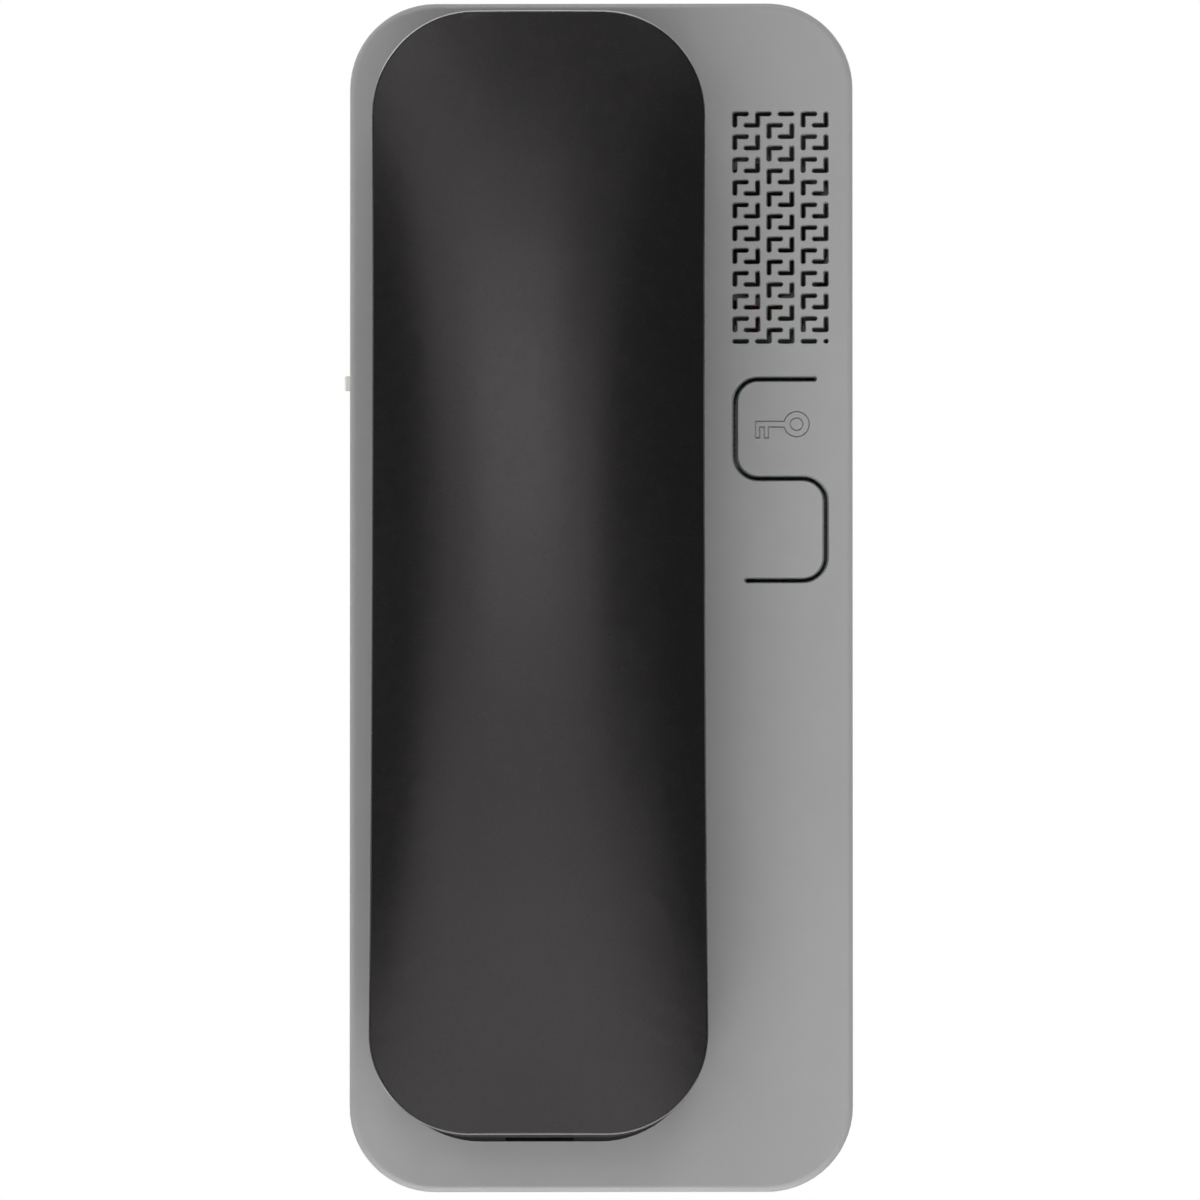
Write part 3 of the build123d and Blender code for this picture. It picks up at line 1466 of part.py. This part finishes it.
with BuildPart() as microphone_leads:
    for wire in microphone_lead_solids:
        add(wire)
microphone_leads.part.label = "microphone_leads"

os.makedirs("parts", exist_ok=True)
export_step(front_cover.part, "parts/front_cover.step")
export_step(back_plate.part, "parts/back_plate.step")
export_step(circuit_board.part, "parts/circuit_board.step")
export_step(board_screws.part, "parts/board_screws.step")
export_step(case_screw.part, "parts/case_screw.step")
export_step(open_button.part, "parts/open_button.step")
export_step(service_button.part, "parts/service_button.step")
export_step(open_switch_body.part, "parts/open_switch_body.step")
export_step(open_switch_stem.part, "parts/open_switch_stem.step")
export_step(service_switch_body.part, "parts/service_switch_body.step")
export_step(service_switch_stem.part, "parts/service_switch_stem.step")
export_step(hook_plunger.part, "parts/hook_plunger.step")
export_step(hook_switch_body.part, "parts/hook_switch_body.step")
export_step(hook_switch_stem.part, "parts/hook_switch_stem.step")
export_step(ringer_frame.part, "parts/ringer_frame.step")
export_step(ringer_cone.part, "parts/ringer_cone.step")
export_step(ringer_magnet.part, "parts/ringer_magnet.step")
export_step(ringer_gasket.part, "parts/ringer_gasket.step")
export_step(ringer_leads.part, "parts/ringer_leads.step")
export_step(line_terminal.part, "parts/line_terminal.step")
export_step(terminal_screws.part, "parts/terminal_screws.step")
export_step(base_cord_jack.part, "parts/base_cord_jack.step")
export_step(base_jack_contacts.part, "parts/base_jack_contacts.step")
export_step(volume_switch_body.part, "parts/volume_switch_body.step")
export_step(volume_slider.part, "parts/volume_slider.step")
export_step(line_capacitor.part, "parts/line_capacitor.step")
export_step(amplifier_chip.part, "parts/amplifier_chip.step")
export_step(resistors.part, "parts/resistors.step")
export_step(handset_outer_shell.part, "parts/handset_outer_shell.step")
export_step(handset_inner_shell.part, "parts/handset_inner_shell.step")
export_step(handset_screws.part, "parts/handset_screws.step")
export_step(earpiece_gasket.part, "parts/earpiece_gasket.step")
export_step(earpiece_frame.part, "parts/earpiece_frame.step")
export_step(earpiece_diaphragm.part, "parts/earpiece_diaphragm.step")
export_step(earpiece_magnet.part, "parts/earpiece_magnet.step")
export_step(earpiece_retainer.part, "parts/earpiece_retainer.step")
export_step(microphone_boot.part, "parts/microphone_boot.step")
export_step(microphone_capsule.part, "parts/microphone_capsule.step")
export_step(handset_cord_jack.part, "parts/handset_cord_jack.step")
export_step(handset_jack_contacts.part, "parts/handset_jack_contacts.step")
export_step(jack_leads.part, "parts/jack_leads.step")
export_step(earpiece_leads.part, "parts/earpiece_leads.step")
export_step(microphone_leads.part, "parts/microphone_leads.step")
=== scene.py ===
import json
import math

import bmesh
import bpy
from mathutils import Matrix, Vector


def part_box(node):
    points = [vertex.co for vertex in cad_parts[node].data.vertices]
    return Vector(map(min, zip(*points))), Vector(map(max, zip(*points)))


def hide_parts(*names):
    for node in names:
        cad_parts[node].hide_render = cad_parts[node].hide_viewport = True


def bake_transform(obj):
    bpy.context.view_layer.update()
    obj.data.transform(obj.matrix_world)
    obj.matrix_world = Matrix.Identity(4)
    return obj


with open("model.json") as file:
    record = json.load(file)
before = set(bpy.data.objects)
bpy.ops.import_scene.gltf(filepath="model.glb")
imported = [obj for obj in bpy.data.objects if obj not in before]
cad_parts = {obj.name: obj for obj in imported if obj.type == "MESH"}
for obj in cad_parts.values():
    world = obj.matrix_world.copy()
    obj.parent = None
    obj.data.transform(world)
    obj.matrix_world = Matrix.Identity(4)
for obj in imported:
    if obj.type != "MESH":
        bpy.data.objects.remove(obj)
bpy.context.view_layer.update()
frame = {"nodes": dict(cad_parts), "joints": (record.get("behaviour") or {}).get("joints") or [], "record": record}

# Audio intercom handset: the looks of the wall unit and its handset. The frame's X runs to the
# right, Z up, and the wall is the plane y = 0, with the user on the -Y side.

mm = 0.001

# Camera: a long lens from slightly below and slightly right of the unit
camera_azimuth = math.radians(1.0)
camera_elevation = math.radians(-4.0)
camera_distance = 6.0
camera_reach = 100.0
frame_width_at_case = 195.25 * mm
sensor_width = 36.0
aim = Vector((-0.19, -16.0, -0.52)) * mm

# Studio: a pale floor below the unit, a dim room in front of it and a white backdrop behind. The
# backdrop glows in full in directions whose share along Y is above backdrop_fade.
floor_height = -1.7
floor_reach = 12.0
floor_squares = 8
floor_colour = (0.82, 0.82, 0.82, 1.0)
room_glow = 0.07
backdrop_glow = 1.0
backdrop_fade = 0.25

# Softboxes: azimuth and elevation in degrees, distance, width and height in metres, radiance
softboxes = {
    "upper_band": (-1.0, 6.6, 6.0, 4.9, 0.9, 1.9),
    "upper_left": (-16.0, 11.5, 6.0, 4.9, 0.9, 1.8),
    "lower_band": (6.5, -8.7, 6.0, 7.9, 0.9, 1.95),
    "left_low": (-34.0, -4.0, 6.0, 1.8, 0.9, 1.65),
    "high_left": (-55.0, 38.0, 3.0, 2.0, 2.0, 0.65),
    "flank_left": (-84.0, 0.0, 2.5, 0.9, 3.0, 1.5),
    "flank_right": (84.0, 0.0, 2.5, 0.9, 3.0, 0.35),
    "top_fill": (6.0, 64.0, 3.0, 3.0, 1.05, 6.2),
    "bottom_fill": (6.0, -60.0, 1.5, 2.0, 0.9, 4.2),
    "back_left": (-130.0, 25.0, 4.0, 3.0, 2.0, 1.4),
    "back_right": (130.0, 25.0, 4.0, 3.0, 2.0, 1.4),
}


def direction(azimuth, elevation):
    """Unit vector away from the unit, at an azimuth counted from its front and an elevation."""
    return Vector(
        (
            math.sin(azimuth) * math.cos(elevation),
            -math.cos(azimuth) * math.cos(elevation),
            math.sin(elevation),
        )
    )


def new_object(name, data):
    """Object in the scene that holds a camera, a light or a mesh."""
    made = bpy.data.objects.new(name, data)
    bpy.context.scene.collection.objects.link(made)
    return made


def place_facing(thing, target, towards, distance):
    """Puts a camera or light at a distance from a target and turns it to face that target."""
    thing.location = target + towards * distance
    thing.rotation_mode = "QUATERNION"
    thing.rotation_quaternion = (-towards).to_track_quat("-Z", "Y")


def make_camera():
    """The photograph's view, with the unit upright in it."""
    data = bpy.data.cameras.new("camera")
    data.sensor_width = sensor_width
    data.lens = sensor_width * camera_distance / frame_width_at_case
    data.clip_end = camera_reach
    camera = new_object("camera", data)
    place_facing(camera, aim, direction(camera_azimuth, camera_elevation), camera_distance)
    bpy.context.scene.camera = camera


def make_softbox(name, azimuth, elevation, distance, width, height, radiance):
    """Rectangular soft light that faces the unit, as bright as its radiance from any distance."""
    data = bpy.data.lights.new(name, "AREA")
    data.shape = "RECTANGLE"
    data.size = width
    data.size_y = height
    data.energy = radiance * math.pi * width * height
    light = new_object(name, data)
    light.visible_camera = False
    towards = direction(math.radians(azimuth), math.radians(elevation))
    place_facing(light, Vector((0.0, 0.0, 0.0)), towards, distance)


def make_world():
    """White background for the camera, a dim even room in front and a white backdrop behind."""
    world = bpy.data.worlds.new("studio")
    world.use_nodes = True
    tree = world.node_tree
    background = tree.nodes["Background"]
    paths = tree.nodes.new("ShaderNodeLightPath")
    place = tree.nodes.new("ShaderNodeTexCoord")
    split = tree.nodes.new("ShaderNodeSeparateXYZ")
    tree.links.new(place.outputs["Generated"], split.inputs["Vector"])
    behind = tree.nodes.new("ShaderNodeMapRange")
    behind.inputs["From Min"].default_value = 0.0
    behind.inputs["From Max"].default_value = backdrop_fade
    behind.inputs["To Min"].default_value = room_glow
    behind.inputs["To Max"].default_value = backdrop_glow
    tree.links.new(split.outputs["Y"], behind.inputs["Value"])
    strength = tree.nodes.new("ShaderNodeMath")
    strength.operation = "MAXIMUM"
    tree.links.new(paths.outputs["Is Camera Ray"], strength.inputs[0])
    tree.links.new(behind.outputs["Result"], strength.inputs[1])
    tree.links.new(strength.outputs[0], background.inputs["Strength"])
    background.inputs["Color"].default_value = (1.0, 1.0, 1.0, 1.0)
    bpy.context.scene.world = world


# A noise's values lie mostly between these two
noise_low = 0.3
noise_high = 0.7

# How far a bevelled direction agrees with the plain one on open faces and on hard edges
open_agreement = 0.995
edge_agreement = 0.85
bevel_samples = 4

# Share of the surroundings that open faces and deep grooves see
open_sight = 0.95
groove_sight = 0.3
sight_samples = 6


class Finish:
    """One material's node tree, built up from a few layers. Sizes are in millimetres."""

    def __init__(self, name):
        self.material = bpy.data.materials.new(name)
        self.material.use_nodes = True
        self.tree = self.material.node_tree
        self.shader = self.tree.nodes["Principled BSDF"]
        self.place = self.add("ShaderNodeTexCoord").outputs["Object"]

    def add(self, kind, **inputs):
        """New node with values or links on its inputs."""
        node = self.tree.nodes.new(kind)
        for name, value in inputs.items():
            self.feed(node.inputs[name.replace("_", " ")], value)
        return node

    def feed(self, socket, value):
        """A link where the value is a socket, else a constant."""
        if isinstance(value, bpy.types.NodeSocket):
            self.tree.links.new(value, socket)
        else:
            socket.default_value = value

    def maths(self, operation, first, second=0.0):
        """Sum, product or other maths of two values."""
        node = self.tree.nodes.new("ShaderNodeMath")
        node.operation = operation
        self.feed(node.inputs[0], first)
        self.feed(node.inputs[1], second)
        return node.outputs[0]

    def span(self, value, low, high, out_low=0.0, out_high=1.0):
        """A value stretched from one range to another and held at its ends."""
        node = self.tree.nodes.new("ShaderNodeMapRange")
        self.feed(node.inputs["Value"], value)
        node.inputs["From Min"].default_value = low
        node.inputs["From Max"].default_value = high
        node.inputs["To Min"].default_value = out_low
        node.inputs["To Max"].default_value = out_high
        return node.outputs["Result"]

    def blend(self, share, first, second):
        """Mix of two colours."""
        node = self.tree.nodes.new("ShaderNodeMix")
        node.data_type = "RGBA"
        self.feed(node.inputs[0], share)
        self.feed(node.inputs[6], first)
        self.feed(node.inputs[7], second)
        return node.outputs[2]

    def cover(self, body, mask, strength, tint):
        """A colour with another laid over it where a mask is 1, at part strength."""
        return self.blend(self.maths("MULTIPLY", mask, strength), body, tint)

    def stretched(self, stretch):
        """Object coordinates scaled differently along each axis."""
        node = self.add("ShaderNodeVectorMath", Vector=self.place)
        node.operation = "MULTIPLY"
        node.inputs[1].default_value = stretch
        return node.outputs["Vector"]

    def turned_to_board(self):
        """Object coordinates with Z in Y's place, for a pattern that lies flat on the board."""
        split = self.add("ShaderNodeSeparateXYZ", Vector=self.place)
        joined = self.add("ShaderNodeCombineXYZ", X=split.outputs["X"], Y=split.outputs["Z"])
        return joined.outputs["Vector"]

    def noise(self, size, detail=2.0, stretch=None):
        """Noise from 0 to 1 whose features are about one size."""
        place = self.stretched(stretch) if stretch else self.place
        node = self.add("ShaderNodeTexNoise", Vector=place, Scale=1.0 / (size * mm), Detail=detail)
        return node.outputs["Fac"]

    def cells(self, size):
        """Distance to the nearest of many scattered points, in cells of one size."""
        node = self.add("ShaderNodeTexVoronoi", Vector=self.place, Scale=1.0 / (size * mm))
        return node.outputs["Distance"]

    def mottle(self, noise, low=0.0, high=1.0):
        """Noise whose usual values are stretched to run from one value to another."""
        return self.span(noise, noise_low, noise_high, low, high)

    def edges(self, radius):
        """1 on convex and concave edges and 0 on open faces, from a bevel of one radius."""
        bevel = self.add("ShaderNodeBevel", Radius=radius * mm)
        bevel.samples = bevel_samples
        plain = self.add("ShaderNodeNewGeometry").outputs["Normal"]
        dot = self.tree.nodes.new("ShaderNodeVectorMath")
        dot.operation = "DOT_PRODUCT"
        self.tree.links.new(bevel.outputs["Normal"], dot.inputs[0])
        self.tree.links.new(plain, dot.inputs[1])
        return self.span(dot.outputs["Value"], open_agreement, edge_agreement)

    def groove_painted_shade(self, reach):
        """Mask for painted shade: 1 deep in narrow grooves and 0 on open faces, felt over one distance."""
        node = self.add("ShaderNodeAmbientOcclusion", Distance=reach * mm)
        node.samples = sight_samples
        return self.span(node.outputs["AO"], groove_sight, open_sight, out_low=1.0, out_high=0.0)

    def away_from(self, lines, reach):
        """0 within one reach of upright lines, each at its own X in metres, 1 beyond its double."""
        share = 1.0
        for line in lines:
            across = self.add("ShaderNodeSeparateXYZ", Vector=self.place).outputs["X"]
            gap = self.maths("ABSOLUTE", self.maths("SUBTRACT", across, line))
            share = self.maths("MULTIPLY", self.span(gap, reach * mm, 2.0 * reach * mm), share)
        return share

    def tilts(self):
        """Shares of the surface's direction along X, Y and Z."""
        normal = self.add("ShaderNodeTexCoord").outputs["Normal"]
        return self.add("ShaderNodeSeparateXYZ", Vector=normal).outputs

    def facing_front(self, low, high):
        """1 where the surface faces the user and 0 on side walls, between two shares."""
        return self.span(self.maths("MULTIPLY", self.tilts()["Y"], -1.0), low, high)

    def facing_ends(self, low, high):
        """1 where the surface faces up or down and 0 where it is upright, between two shares."""
        return self.span(self.maths("ABSOLUTE", self.tilts()["Z"]), low, high)

    def relief(self, height, depth, under=None):
        """Bump of one depth, on top of another where given."""
        node = self.add("ShaderNodeBump", Height=height, Distance=depth * mm)
        if under:
            self.tree.links.new(under, node.inputs["Normal"])
        return node.outputs["Normal"]

    def surface(self, colour, roughness, normal=None, **constants):
        """Sets the shader's colour, roughness and relief, and any constants by name."""
        self.feed(self.shader.inputs["Base Color"], colour)
        self.feed(self.shader.inputs["Roughness"], roughness)
        if normal:
            self.tree.links.new(normal, self.shader.inputs["Normal"])
        for name, value in constants.items():
            self.shader.inputs[name.replace("_", " ")].default_value = value
        return self.material


def grey(value):
    """An even grey colour."""
    return (value, value, value, 1.0)


def shade(colour, share):
    """A colour made lighter or darker by a share."""
    return tuple(min(1.0, part * share) for part in colour[:3]) + (1.0,)


case_grey = grey(0.264)
handset_black = (0.0042, 0.0038, 0.0039, 1.0)
# Painted highlights along the handset's lower and upper rim, the upper one brighter
lower_rim_painted_highlight = grey(0.14)
upper_rim_painted_highlight = grey(0.4)
rear_black = (0.0032, 0.003, 0.0031, 1.0)
inner_black = grey(0.006)
knob_white = (0.62, 0.62, 0.58, 1.0)
terminal_green = (0.02, 0.17, 0.05, 1.0)
chip_black = grey(0.012)
resistor_brown = (0.02, 0.018, 0.016, 1.0)
zinc = (0.56, 0.56, 0.53, 1.0)
gold = (0.76, 0.55, 0.2, 1.0)
pressed_steel = (0.42, 0.42, 0.43, 1.0)
nickel = (0.5, 0.49, 0.46, 1.0)
mask_dark = (0.008, 0.085, 0.03, 1.0)
mask_light = (0.012, 0.11, 0.042, 1.0)
mask_over_copper = (0.03, 0.2, 0.075, 1.0)
sleeve_blue = (0.012, 0.015, 0.05, 1.0)
stripe_silver = (0.5, 0.52, 0.55, 1.0)
jacket_dark = (0.26, 0.012, 0.009, 1.0)
jacket_light = (0.33, 0.02, 0.014, 1.0)
foam_grain = grey(0.035)
foam_gap = grey(0.011)
rubber_black = grey(0.009)
rubber_bloom = grey(0.028)
film_dark = grey(0.012)
film_light = grey(0.03)

# Tint of the handset's sheen, which is weaker on its side walls
front_sheen = (1.0, 0.95, 0.965, 1.0)
wall_sheen = (0.3, 0.29, 0.29, 1.0)


def moulded_plastic(name, colour, roughness, grain=0.35, depth=0.006, specular=0.5, seams=()):
    """Moulded plastic: fine grain, flow mottle, flecks, edges polished by use, painted shade in grooves.

    The grain and its depth are in millimetres. The seams are upright lines, each given by its X
    in metres, along which no edge is polished.
    """
    seam_reach = 0.4
    roughness_swing = 0.035
    smoothed_by_use = 0.12
    cell_size = grain * 1.6
    cell_depth = depth * 0.6
    finish = Finish(name)
    flow = finish.mottle(finish.noise(size=22.0, detail=3.0))
    clouds = finish.mottle(finish.noise(size=5.0, detail=5.0), high=0.5)
    flecks = finish.noise(size=0.9, detail=4.0)
    few_flecks = finish.span(flecks, low=0.62, high=0.8, out_high=0.35)
    touched = finish.span(finish.noise(size=3.0, detail=3.0), low=0.35, high=0.65)
    worn = finish.maths("MULTIPLY", finish.edges(radius=0.35), touched)
    worn = finish.maths("MULTIPLY", worn, finish.away_from(seams, seam_reach))
    groove_painted_shade = finish.groove_painted_shade(reach=0.7)

    body = finish.blend(flow, shade(colour, share=0.97), shade(colour, share=1.03))
    body = finish.blend(clouds, body, shade(colour, share=0.95))
    body = finish.blend(few_flecks, body, shade(colour, share=1.12))
    body = finish.cover(body, worn, strength=0.5, tint=shade(colour, share=1.25))
    # Painted shade: darker deep in narrow grooves, slits and their lips
    body = finish.cover(body, groove_painted_shade, strength=0.25, tint=shade(colour, share=0.25))
    smoothest = roughness - roughness_swing
    roughest = roughness + roughness_swing
    rough = finish.span(flecks, low=0.25, high=0.75, out_low=smoothest, out_high=roughest)
    rough = finish.maths("SUBTRACT", rough, finish.maths("MULTIPLY", worn, smoothed_by_use))
    normal = finish.relief(finish.noise(grain), depth)
    normal = finish.relief(finish.cells(cell_size), cell_depth, normal)
    return finish.surface(body, rough, normal, Specular_IOR_Level=specular)


def handset_masks(finish):
    """Masks of the handset's front, its upper and lower rim, and the crease just inside them."""
    front = finish.facing_front(low=0.05, high=0.15)
    crown = finish.facing_front(low=0.72, high=0.85)
    middle = finish.facing_front(low=0.9, high=0.97)
    ends = finish.facing_ends(low=0.25, high=0.4)
    rim = finish.maths("MULTIPLY", ends, finish.maths("SUBTRACT", front, crown))
    crease = finish.maths("MULTIPLY", ends, finish.maths("SUBTRACT", crown, middle))
    return front, rim, crease


def painted_rim_highlight(finish):
    """Painted highlight along the rim: the lower one, or the brighter upper one where the surface tilts up or
    left.
    """
    tilts = finish.tilts()
    up_or_left = finish.maths("SUBTRACT", tilts["Z"], tilts["X"])
    upper = finish.span(up_or_left, low=0.0, high=0.5)
    return finish.blend(upper, lower_rim_painted_highlight, upper_rim_painted_highlight)


def polished_shell(name, colour, roughness, wall_roughness):
    """Dark handset plastic: smooth satin front with a faint flow, and coarser side walls.

    A paler and smoother band along the upper and lower rim stands for a reflection in the
    photograph. The crease inside that band has the weak sheen of the side walls.
    """
    front_swing = 0.012
    wall_swing = 0.04
    smoothed_at_rim = 0.15
    finish = Finish(name)
    front, rim, crease = handset_masks(finish)
    clouds = finish.mottle(finish.noise(size=14.0, detail=3.0))
    body = finish.blend(clouds, shade(colour, share=0.92), shade(colour, share=1.08))
    worn = finish.edges(radius=0.3)
    body = finish.cover(body, worn, strength=0.35, tint=shade(colour, share=2.0))
    # Painted highlight: a paler band along the upper and lower rim, brightest at the upper left
    body = finish.cover(body, rim, strength=0.9, tint=painted_rim_highlight(finish))

    satin = finish.noise(size=2.2, detail=4.0)
    smooth = finish.mottle(satin, roughness - front_swing, roughness + front_swing)
    texture = finish.noise(size=0.5)
    coarse = finish.mottle(texture, wall_roughness - wall_swing, wall_roughness + wall_swing)
    step = finish.maths("MULTIPLY", front, finish.maths("SUBTRACT", smooth, coarse))
    rough = finish.maths("ADD", coarse, step)
    rough = finish.maths("SUBTRACT", rough, finish.maths("MULTIPLY", rim, smoothed_at_rim))
    normal = finish.relief(finish.noise(size=0.22), depth=0.0003)
    normal = finish.relief(finish.noise(size=9.0), depth=0.002, under=normal)
    sheen = finish.blend(front, wall_sheen, front_sheen)
    # Painted shade: the crease just inside the rim gets the weak sheen of the side walls, a dark line
    finish.feed(finish.shader.inputs["Specular Tint"], finish.blend(crease, sheen, wall_sheen))
    return finish.surface(body, rough, normal)


def plated_metal(name, colour, roughness, brushed=(1.0, 1.0, 1.0)):
    """Plated or pressed metal: fine drawing lines, faint stains and brighter edges."""
    smoother_by = 0.06
    duller_by = 0.08
    finish = Finish(name)
    lines = finish.noise(size=0.12, detail=3.0, stretch=brushed)
    stains = finish.noise(size=2.5, detail=4.0)
    stained = finish.span(stains, low=0.35, high=0.7)
    body = finish.blend(stained, shade(colour, share=0.85), colour)
    edges = finish.edges(radius=0.15)
    body = finish.cover(body, edges, strength=0.6, tint=shade(colour, share=1.2))
    rough = finish.mottle(stains, roughness - smoother_by, roughness + duller_by)
    return finish.surface(body, rough, finish.relief(lines, depth=0.004), Metallic=1.0)


def solder_mask(name):
    """Circuit board: green mask over copper tracks, with a woven core showing faintly.

    The tracks are the mortar lines of a brick pattern. The scale is its units in a metre, and the
    width is a share of one unit.
    """
    track_scale = 260.0
    track_width = 0.045
    finish = Finish(name)
    tracks = finish.add(
        "ShaderNodeTexBrick",
        Vector=finish.turned_to_board(),
        Scale=track_scale,
        Mortar_Size=track_width,
        Color1=grey(0.0),
        Color2=grey(0.0),
        Mortar=grey(1.0),
    )
    copper = tracks.outputs["Color"]
    weave = finish.mottle(finish.noise(size=0.5, detail=1.0, stretch=(1.0, 1.0, 6.0)))
    body = finish.blend(weave, mask_dark, mask_light)
    body = finish.cover(body, copper, strength=0.7, tint=mask_over_copper)
    rough = finish.mottle(finish.noise(size=1.5), low=0.26, high=0.36)
    return finish.surface(body, rough, finish.relief(copper, depth=0.03), Coat_Weight=0.3)


def foam(name):
    """Foam seal: soft grains with darker gaps between them."""
    finish = Finish(name)
    cells = finish.cells(size=0.35)
    gaps = finish.span(cells, low=0.1, high=0.7)
    body = finish.blend(gaps, foam_grain, foam_gap)
    rough = finish.mottle(finish.noise(size=1.0), low=0.86, high=0.96)
    grains = finish.span(cells, low=0.0, high=0.8, out_low=1.0, out_high=0.0)
    return finish.surface(body, rough, finish.relief(grains, depth=0.12))


def rubber(name):
    """Matte black rubber with a paler bloom."""
    finish = Finish(name)
    bloom = finish.noise(size=1.8, detail=4.0)
    bloomed = finish.span(bloom, low=0.45, high=0.75)
    body = finish.blend(bloomed, rubber_black, rubber_bloom)
    rough = finish.mottle(bloom, low=0.62, high=0.75)
    grain = finish.noise(size=0.2, detail=3.0)
    return finish.surface(body, rough, finish.relief(grain, depth=0.01))


def film(name):
    """Pressed film of a cone or diaphragm, with fine fibres."""
    finish = Finish(name)
    fibres = finish.noise(size=0.25, detail=4.0, stretch=(1.0, 1.0, 3.0))
    body = finish.blend(finish.mottle(fibres), film_dark, film_light)
    rough = finish.mottle(fibres, low=0.55, high=0.7)
    return finish.surface(body, rough, finish.relief(fibres, depth=0.01))


def sleeve(name):
    """Printed shrink sleeve of the capacitor, dark blue with one pale stripe on its right side."""
    stripe_width = 0.8 * mm
    stripe_blur = 0.05 * mm
    finish = Finish(name)
    across = finish.add("ShaderNodeSeparateXYZ", Vector=finish.place).outputs["X"]
    right_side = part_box("line_capacitor")[1].x
    stripe_edge = right_side - stripe_width
    stripe = finish.span(across, stripe_edge - stripe_blur, stripe_edge + stripe_blur)
    body = finish.blend(stripe, sleeve_blue, stripe_silver)
    rough = finish.mottle(finish.noise(size=2.0), low=0.25, high=0.38)
    return finish.surface(body, rough, finish.relief(finish.noise(size=1.2), depth=0.02))


def jacket(name):
    """Soft red jacket of thin hook-up wire, with faint streaks."""
    finish = Finish(name)
    streaks = finish.noise(size=0.6, stretch=(3.0, 3.0, 1.0))
    body = finish.blend(finish.mottle(streaks), jacket_dark, jacket_light)
    rough = finish.mottle(streaks, low=0.36, high=0.48)
    return finish.surface(body, rough, finish.relief(finish.noise(size=0.3), depth=0.006))


def pale_floor(name):
    """Matte studio floor with faint broad clouds."""
    finish = Finish(name)
    clouds = finish.noise(size=900.0)
    body = finish.blend(clouds, shade(floor_colour, share=0.99), shade(floor_colour, share=1.01))
    rough = finish.span(clouds, low=0.0, high=1.0, out_low=0.75, out_high=0.85)
    return finish.surface(body, rough)


# Thin strip at the root of each key, where the key bends out of the base, and the number of cuts across it
root_strip = 1.4 * mm
strip_cuts = 8
joints = {joint["name"]: joint for joint in frame["joints"]}
key_roots = [joints[name]["pos_m"][0] for name in ("open_press", "service_press")]

# Drawing lines that are eight times finer along Z
finer_along_z = (1.0, 1.0, 8.0)

finishes = {
    "grey_case": moulded_plastic("grey_case_plastic", case_grey, roughness=0.52, seams=key_roots),
    "charcoal_handset": polished_shell(
        "charcoal_handset_plastic", handset_black, roughness=0.27, wall_roughness=0.8
    ),
    "black_plastic": moulded_plastic("black_plastic", inner_black, roughness=0.45),
    "white_plastic": moulded_plastic("white_plastic", knob_white, roughness=0.42),
    "terminal_green": moulded_plastic("terminal_green_plastic", terminal_green, roughness=0.4),
    "board_green": solder_mask("board_solder_mask"),
    "steel_screws": plated_metal("zinc_plated_steel", zinc, roughness=0.32),
    "contact_gold": plated_metal("plated_contact", gold, roughness=0.22, brushed=finer_along_z),
    "speaker_steel": plated_metal("pressed_steel", pressed_steel, roughness=0.38),
    "magnet_metal": plated_metal("nickel_plate", nickel, roughness=0.25),
    "cone_film": film("cone_film"),
    "foam_seal": foam("foam_seal"),
    "boot_rubber": rubber("boot_rubber"),
    "can_sleeve": sleeve("can_sleeve"),
    "wire_jacket": jacket("wire_jacket"),
    "chip_body": moulded_plastic("chip_plastic", chip_black, roughness=0.55, grain=0.15),
    "ceramic_parts": moulded_plastic("ceramic_parts", resistor_brown, roughness=0.35, grain=0.1),
}

# Nodes with a finish of their own: the handset's rear shell is coarse, with hardly any sheen
own_finishes = {
    "handset_inner_shell": moulded_plastic(
        "coarse_handset_plastic", rear_black, roughness=0.75, specular=0.05
    ),
}


def dress_nodes():
    """Gives every CAD node its own finish, or else that of its material slot."""
    slots = {row["node"]: row["material_slot"] for row in frame["record"]["subparts"]}
    for name, node in frame["nodes"].items():
        node.data.materials.clear()
        node.data.materials.append(own_finishes.get(name, finishes[slots[name]]))


def flexing_key(node_name, joint):
    """Copy of a key tongue, sliced across the thin strip at its root, in place of its hidden CAD node."""
    mesh = frame["nodes"][node_name].data.copy()
    piece = new_object(node_name.replace("button", "key_tongue"), mesh)
    root = Vector(joint["pos_m"])
    across = Vector((joint["axis"][2], 0.0, 0.0)) * root_strip
    sheet = bmesh.new()
    sheet.from_mesh(mesh)
    for step in range(1, strip_cuts + 1):
        everything = sheet.verts[:] + sheet.edges[:] + sheet.faces[:]
        cut = root + across * (step / strip_cuts)
        bmesh.ops.bisect_plane(sheet, geom=everything, plane_co=cut, plane_no=across)
    sheet.to_mesh(mesh)
    sheet.free()
    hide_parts(node_name)
    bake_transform(piece)


def make_floor():
    """Plain pale floor below the unit."""
    mesh = bpy.data.meshes.new("floor")
    sheet = bmesh.new()
    bmesh.ops.create_grid(
        sheet, x_segments=floor_squares, y_segments=floor_squares, size=floor_reach
    )
    sheet.to_mesh(mesh)
    sheet.free()
    floor = new_object("floor", mesh)
    floor.location = (0.0, 0.0, floor_height)
    mesh.materials.append(pale_floor("pale_floor"))


make_camera()
make_world()
for name, values in softboxes.items():
    make_softbox(name, *values)
make_floor()
dress_nodes()
flexing_key("open_button", joints["open_press"])
flexing_key("service_button", joints["service_press"])

bpy.context.scene.view_settings.view_transform = "Standard"
